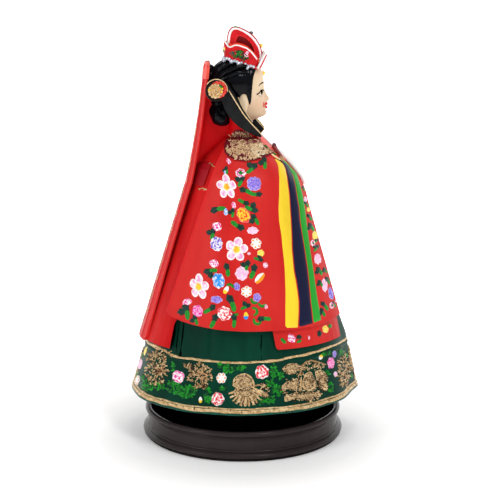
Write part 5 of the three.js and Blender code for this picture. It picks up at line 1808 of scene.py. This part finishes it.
# Height, half width and swell
DRAPE_LEVELS = (
    (156, 3.0, 0.5), (158, 4.2, 1.4), (161, 5.0, 2.1), (165, 5.4, 2.6), (169, 5.2, 2.8), (172.5, 4.6, 2.6),
    (175.5, 3.8, 2.2), (177.6, 2.6, 1.4)
)
rings = []
for height, half, swell in DRAPE_LEVELS:
    face = gown(height, "front")
    ring = []
    for a in full_turn(40):
        fold = 0.25 * math.cos(9 * a) * clamp((176 - height) / 12)
        deep = swell + fold if math.cos(a) > 0 else 3.2
        ring.append(up(face + deep * math.cos(a) - 0.6, height, half * math.sin(a)))
    rings.append(ring)
loft(cloth_work, rings, WHITE)
make("hand_drape", cloth_work, white_finish, slot="white_paint", stands_for=("hand_cloth",), sharp=60)

# Crown, in its own tilted frame: u forward, v up from its foot, w to the right
TILT = math.radians(17)
CROWN_FORWARD, CROWN_HEIGHT = -0.8, 228.4


def crown(u, v, w):
    forward = CROWN_FORWARD + u * math.cos(TILT) + v * math.sin(TILT)
    return up(forward, CROWN_HEIGHT - u * math.sin(TILT) + v * math.cos(TILT), w)


# Height of the band's upper edge and its lean, by distance forward
BAND_TOP = [
    (-10.7, 9.9), (-10.2, 9.2), (-9.4, 7.6), (-8.6, 7.2), (-6.4, 9.2), (-4, 9.7), (0, 9.5), (3, 8.4),
    (5.5, 6.9), (8, 5.2), (9.7, 4.0), (10.1, 5.4), (10.4, 10.8), (10.6, 11.2)
]
LEAN = [(-10.7, 3.4), (-9.5, 1.6), (-8, 0.5), (8, 0.2), (10.2, 0.6), (10.6, 1.3)]
CROWN_RED = srgb(198, 22, 30)


def band_foot(a):
    """The crown's foot: a rectangle with round corners."""
    return bent(math.cos(a), 0.42) * (10.6 if math.cos(a) > 0 else 10.7), bent(math.sin(a), 0.42) * 10.2


def band_corner(a, share, inset):
    """A corner of the band by its angle, its share of the height and its depth in the wall."""
    u, w = band_foot(a)
    top = table(BAND_TOP, u)
    lean = math.copysign(table(LEAN, u), u)
    flare = 1 + 0.05 * share
    c, s = math.cos(a), math.sin(a)
    return crown(u + lean * share - inset * c, top * share - 0.4 * (1 - share), w * flare - inset * s)


# Angles round the band, with more of them at its two front corners
CORNER_ANGLES = (math.pi / 4, 7 * math.pi / 4)
CORNER_STEPS = (-0.5, -0.4, -0.3, -0.2, -0.1, 0.1)
band_turns = sorted(
    set(full_turn(120)) | {angle + step for angle in CORNER_ANGLES for step in CORNER_STEPS}
)
crown_band_work = Work()
band_rows = [[band_corner(a, r / 10, 0) for a in band_turns] for r in range(11)]
band_rows += [[band_corner(a, 1 - r / 2, 1.1) for a in band_turns] for r in range(3)]
band_rows.append(list(band_rows[0]))
loft(crown_band_work, band_rows, CROWN_RED, closed=False)
make("crown_wall", crown_band_work, crown_finish, slot="crown_red", stands_for=("crown_band",), sharp=45)
band_tree = tree_of(crown_band_work)

# Side views of the crown's arch and of the sunk pocket in it, and the middle that both are drawn round
ARCH = [
    (-10.6, 1.0), (-11.0, 5), (-11.6, 9.6), (-12.2, 14.6), (-11.6, 17.8), (-9.6, 19.2), (-6.5, 19.4),
    (-3, 18.9), (0.4, 18.0), (4.1, 15.9), (7.2, 13.0), (8.9, 10.6), (10.3, 7.2), (10.4, 3.6), (10.0, 1.0)
]
POCKET = [
    (-6.9, 13.0), (-6.3, 15.0), (-4.6, 15.5), (-0.7, 14.6), (2.9, 12.4), (5.6, 8.8), (5.3, 8.0), (2.7, 8.8),
    (-0.8, 10.1), (-4.6, 10.6), (-6.4, 10.4), (-6.9, 13.0)
]
CAP_HALF = 7.4


def radial(points, centre, angle):
    """Where a ray from the centre leaves an outline."""
    aim = Vector((math.cos(angle), math.sin(angle)))
    best = 0.0
    count = len(points)
    for i in range(count):
        a = Vector(points[i]) - Vector(centre)
        b = Vector(points[(i + 1) % count]) - Vector(centre)
        edge = b - a
        cross = aim.x * edge.y - aim.y * edge.x
        if abs(cross) < 1e-9:
            continue
        far = (a.x * edge.y - a.y * edge.x) / cross
        along = (a.x * aim.y - a.y * aim.x) / cross
        if far > 0 and -1e-6 <= along <= 1 + 1e-6:
            best = max(best, far)
    return best


arch_line = [(p.x, p.y) for p in flowing([Vector((u, v, 0)) for u, v in ARCH], 4)]
pocket_line = [(p.x, p.y) for p in flowing([Vector((u, v, 0)) for u, v in POCKET], 3)]
MIDDLE = (-1.2, 11.6)
SPOKES = 96


def around_outline(points, shrink, w):
    """A ring of corners on an outline, drawn in by some millimetres."""
    row = []
    for a in full_turn(SPOKES):
        far = radial(points, MIDDLE, a) - shrink
        row.append(crown(MIDDLE[0] + far * math.cos(a), MIDDLE[1] + far * math.sin(a), w))
    return row


cap_work = Work()
cap_rows, cap_tints = [], []
# Painted shade: the sunk pocket and its wall in a darker red than the frame round it
POCKET_SHADE_RED = srgb(168, 0, 10)
FRAME_RED = srgb(204, 26, 34)
EDGE_RED = srgb(190, 10, 30)
for side in (1, -1):
    block = [
        (around_outline(pocket_line, 1.6, side * (CAP_HALF - 3.6)), POCKET_SHADE_RED),
        (around_outline(pocket_line, 0.2, side * (CAP_HALF - 3.4)), POCKET_SHADE_RED),
        (around_outline(pocket_line, 0.0, side * (CAP_HALF - 0.5)), srgb(160, 10, 18)),
        (around_outline(pocket_line, -0.5, side * CAP_HALF), FRAME_RED),
        (around_outline(arch_line, 1.35, side * CAP_HALF), FRAME_RED),
        (around_outline(arch_line, 1.3, side * (CAP_HALF + 0.05)), WHITE),
        (around_outline(arch_line, 0.7, side * (CAP_HALF + 0.35)), WHITE),
        (around_outline(arch_line, 0.05, side * (CAP_HALF + 0.2)), WHITE),
        (around_outline(arch_line, 0.0, side * (CAP_HALF + 0.1)), EDGE_RED),
        (around_outline(arch_line, -0.4, side * (CAP_HALF - 0.3)), EDGE_RED),
    ]
    if side < 0:
        block.reverse()
    for row, colour in block:
        cap_rows.append(row)
        cap_tints += [colour] * SPOKES
loft(cap_work, cap_rows, cap_tints)
make("crown_arch", cap_work, crown_finish, slot="crown_red", stands_for=("crown_cap",), sharp=45)

# Ledge between the cap and the band
LEDGE_COURSE = [(-10.8, 9.4), (-8.5, 8.6), (-5.8, 10.2), (0, 10.1), (5.5, 7.5), (9.6, 4.4)]
LEDGE_THICKNESS = 0.7
ledge_work = Work()
for side in (1, -1):
    rows = []
    for k in range(25):
        u = mix(-10.4, 9.4, k / 24)
        v = eased(LEDGE_COURSE, u)
        rows.append([crown(u, v + 0.7, side * (CAP_HALF - 0.4)), crown(u, v + 0.5, side * (CAP_HALF + 1.2)),
                     crown(u, v - 0.3, side * 10.2)])
    sheet(ledge_work, rows, srgb(240, 66, 44))
made = make("crown_ledge", ledge_work, crown_finish, slot="crown_red", **PAINTED)
thick = made.modifiers.new("thick", "SOLIDIFY")
thick.thickness = LEDGE_THICKNESS * MM
thick.offset = 0

# White edge lines of the crown
edges = Work()
rim_line = [band_corner(a, 1.0, 0.3) + (crown(0, 0.15, 0) - crown(0, 0, 0)) for a in band_turns]
cord(edges, rim_line, 0.5, WHITE, ring=True)
for side in (1, -1):
    wall = [
        crown(mix(10.1, 12.0, t), 0.2 + 10.0 * t, side * (10.4 + 0.4 * t)) for t in (0, 0.25, 0.5, 0.75, 1)
    ]
    cord(edges, wall, 0.75, WHITE)
make("crown_white_edges", edges, white_finish, slot="white_paint", sharp=0)

# Leaning front wall of the crown
wall_work = Work()


def wall_skin(foot, top, rise, half):
    """One skin of the wall, from its foot to its leaning top."""
    rows = []
    for r in range(7):
        t = r / 6
        shares = (-1, -0.8, -0.4, 0, 0.4, 0.8, 1)
        rows.append([crown(mix(foot, top, t), 0.6 + rise * t, w * half * (1 + 0.04 * t)) for w in shares])
    return rows


slab(wall_work, wall_skin(11.3, 12.8, 9.2, 10.6), wall_skin(10.2, 11.9, 9.6, 10.3), CROWN_RED)
for side in (1, -1):
    seam = [crown(mix(11.6, 12.9, t), 1.0 + 8.4 * t, side * (10.7 + 0.3 * t)) for t in (0, 0.5, 1)]
    cord(wall_work, seam, 0.32, srgb(214, 20, 36))
make("crown_front_wall", wall_work, crown_finish, slot="crown_red", sharp=40)

# Pocket rim and the strap over the arch
STRAP_FOOT = 8
rim_work = Work()
for side in (1, -1):
    cord(
        rim_work, around_outline(pocket_line, -0.35, side * CAP_HALF), 0.4, srgb(226, 40, 40), sides=6,
        ring=True
    )
    strap = [(u, v) for u, v in arch_line if v > STRAP_FOOT]
    cord(rim_work, [crown(u, v + 0.1, side * 3.2) for u, v in strap], 0.7, CROWN_RED)
make("crown_red_rims", rim_work, crown_finish, slot="crown_red", sharp=0)

# Painted leaves and flowers on the band, silver lace at its foot
crown_paint = Work()
on_band = seen(band_tree)
CROWN_LEAVES = (
    (238, 54.6, 14, 8, 46, (LEAF, DARK_LEAF, DARK_LEAF)), (245, 58.6, 8, 5, 14, (LEAF, DARK_LEAF)),
    (232, 53.6, 5, 3, 6, (DARK_LEAF, TEAL)), (238, 54, 6, 4, 8, (BRIGHT_LEAF, LEAF))
)
for cx, cy, w, h, count, tints in CROWN_LEAVES:
    scribble(crown_paint, on_band, cx, cy, w, h, count, 3.2, 0.9, tints, 1.2, 0.3)
motif(crown_paint, on_band, 247.4, 52.8, 5, 3.6, "bud", 0.5)
motif(crown_paint, on_band, 246.2, 55.2, 4.6, 5, "green_eye", 0.3)
make_pair("crown_flowers", crown_paint, thread_finish, slot="bead_green", **PAINTED)
for end, phi, tilt_drop in (("front", 0.0, -3.1), ("back", math.pi, 3.1)):
    face = Work()
    spot = around(band_tree, phi, crown(0, 5.2, 0).z + tilt_drop)
    motif(face, spot, 0, 0, 5, 5, "green_eye", 0)
    for side in (-1, 1):
        motif(face, spot, side * 4.2, 0.5, 3.6, 2.6, "leaf", side * 0.5)
        motif(face, spot, side * 6.8, -0.6, 2.2, 2.2, "yellow", 0)
    make(f"crown_flowers_{end}", face, thread_finish, slot="bead_green", **PAINTED)

# Beads evenly spaced round the crown's foot, open in front, with a drop at every third
lace_work = Work()
LACE_BEADS, LACE_STEPS, LACE_END = 46, 720, 8.5
perimeter = [band_foot(a) for a in full_turn(LACE_STEPS)]
lengths = [0.0]
for (u0, w0), (u1, w1) in zip(perimeter, perimeter[1:] + perimeter[:1]):
    lengths.append(lengths[-1] + math.hypot(u1 - u0, w1 - w0))
for k in range(LACE_BEADS):
    want = lengths[-1] * k / LACE_BEADS
    index = next(i for i, far in enumerate(lengths) if far >= want) % LACE_STEPS
    u, w = perimeter[index]
    if u > LACE_END:
        continue
    size = 0.95 + 0.35 * (k % 3 == 0)
    drop_by = 0.9 * (k % 3 == 0)
    bead(lace_work, crown(u * 1.03, 0.5 - drop_by, w * 1.03), size, WHITE, 10, 7)
    if k % 3 == 0:
        bead(lace_work, crown(u * 1.05, -1.7, w * 1.05), 0.6, WHITE, 8, 6)
make("bead_lace", lace_work, silver_finish, slot="silver_paint", stands_for=("crown_lace",), sharp=0)

BEAD_STEP = 5.0
# Glass beads: node, slot, tint, place forward, height and size
GLASS_BEADS = (
    ("crown_bead_green", "bead_green", LEAF, -4.2, 249.75, (1.2, 1.7, 0.75)),
    ("crown_bead_dark", "bead_dark", srgb(24, 18, 34), 5.0, 246.5, (1.2, 1.5, 1.0)),
    ("crown_bead_yellow", "bead_yellow", YELLOW, 11.0, 239.0, (1.2, 1.15, 1.15)),
    ("forehead_bead", "bead_yellow", YELLOW, 12.5, 222.6, (1.1, 1.1, 1.3)),
)
for node, slot, tint, forward, height, size in GLASS_BEADS:
    finish = finish_of(node + " glass", tint, tone(tint, WHITE, 0.15), rough=0.15, coat=0.5)
    glass = Work()
    for side in (0,) if node == "forehead_bead" else (-BEAD_STEP, 0, BEAD_STEP):
        bead(glass, up(forward, height, side), 1, tint, 20, 12, size)
    make(node + "_glass", glass, finish, slot=slot, stands_for=(node,), sharp=0)

# Floor, backdrop and light, in metres: the floor runs from behind the camera to a round bend and up a wall
FLOOR_START, FLOOR_END, BEND_RADIUS, WALL_TOP, HALF_WIDTH = -3.0, 1.6, 1.2, 5.0, 5.0
stage_mesh = bpy.data.meshes.new("studio_floor")
profile = [(FLOOR_START, 0.0), (FLOOR_END, 0.0)]
for k in range(1, 13):
    a = math.pi / 2 * k / 12
    profile.append((FLOOR_END + BEND_RADIUS * math.sin(a), BEND_RADIUS * (1 - math.cos(a))))
profile.append((FLOOR_END + BEND_RADIUS, WALL_TOP))
stage_corners = [Vector((x, y, z)) for x, z in profile for y in (-HALF_WIDTH, HALF_WIDTH)]
stage_mesh.from_pydata(stage_corners, [], grid_faces(len(profile), 2))
stage_mesh.polygons.foreach_set("use_smooth", [True] * len(stage_mesh.polygons))
floor_finish = finish_of(
    "studio floor", srgb(238, 238, 238), srgb(242, 242, 242), rough=0.8, patch=2, grain=40, bump=0.0
)
# The floor glows white from a little way outside the plinth
floor_shader = floor_finish.node_tree.nodes["Principled BSDF"]
floor_shader.inputs["Emission Color"].default_value = (1.0, 1.0, 1.0, 1.0)
floor_nodes, floor_links = floor_finish.node_tree.nodes, floor_finish.node_tree.links
spot_of_floor = floor_nodes.new("ShaderNodeTexCoord")
away = floor_nodes.new("ShaderNodeVectorMath")
away.operation = "LENGTH"
glow = floor_nodes.new("ShaderNodeMapRange")
for key, value in (("From Min", 0.08), ("From Max", 0.24), ("To Min", 0.1), ("To Max", 0.9)):
    glow.inputs[key].default_value = value
floor_links.new(spot_of_floor.outputs["Object"], away.inputs[0])
floor_links.new(away.outputs["Value"], glow.inputs["Value"])
floor_links.new(glow.outputs["Result"], floor_shader.inputs["Emission Strength"])
stage_mesh.materials.append(floor_finish)
studio_floor = bpy.data.objects.new("studio_floor", stage_mesh)
bpy.context.scene.collection.objects.link(studio_floor)

world = bpy.data.worlds.new("studio")
bpy.context.scene.world = world
world.use_nodes = True
world.node_tree.nodes["Background"].inputs["Color"].default_value = (1.0, 1.0, 1.0, 1.0)
world.node_tree.nodes["Background"].inputs["Strength"].default_value = 0.5
bpy.context.scene.view_settings.view_transform = "Standard"
FIGURE_MIDDLE = Vector((0, 0, 0.12))


def lamp(name, place, size, watts):
    """A square lamp that looks at the figure's middle."""
    data = bpy.data.lights.new(name, "AREA")
    data.shape = "SQUARE"
    data.size = size
    data.energy = watts
    made = bpy.data.objects.new(name, data)
    made.location = Vector(place)
    made.rotation_mode = "QUATERNION"
    made.rotation_quaternion = (FIGURE_MIDDLE - Vector(place)).to_track_quat("-Z", "Y")
    bpy.context.scene.collection.objects.link(made)


lamp("key", (-0.75, -0.45, 0.9), 0.22, 3.5)
lamp("back_soft", (-0.65, 0.85, 0.55), 0.3, 2.3)
lamp("top_soft", (-0.15, -0.1, 1.2), 0.3, 1.8)
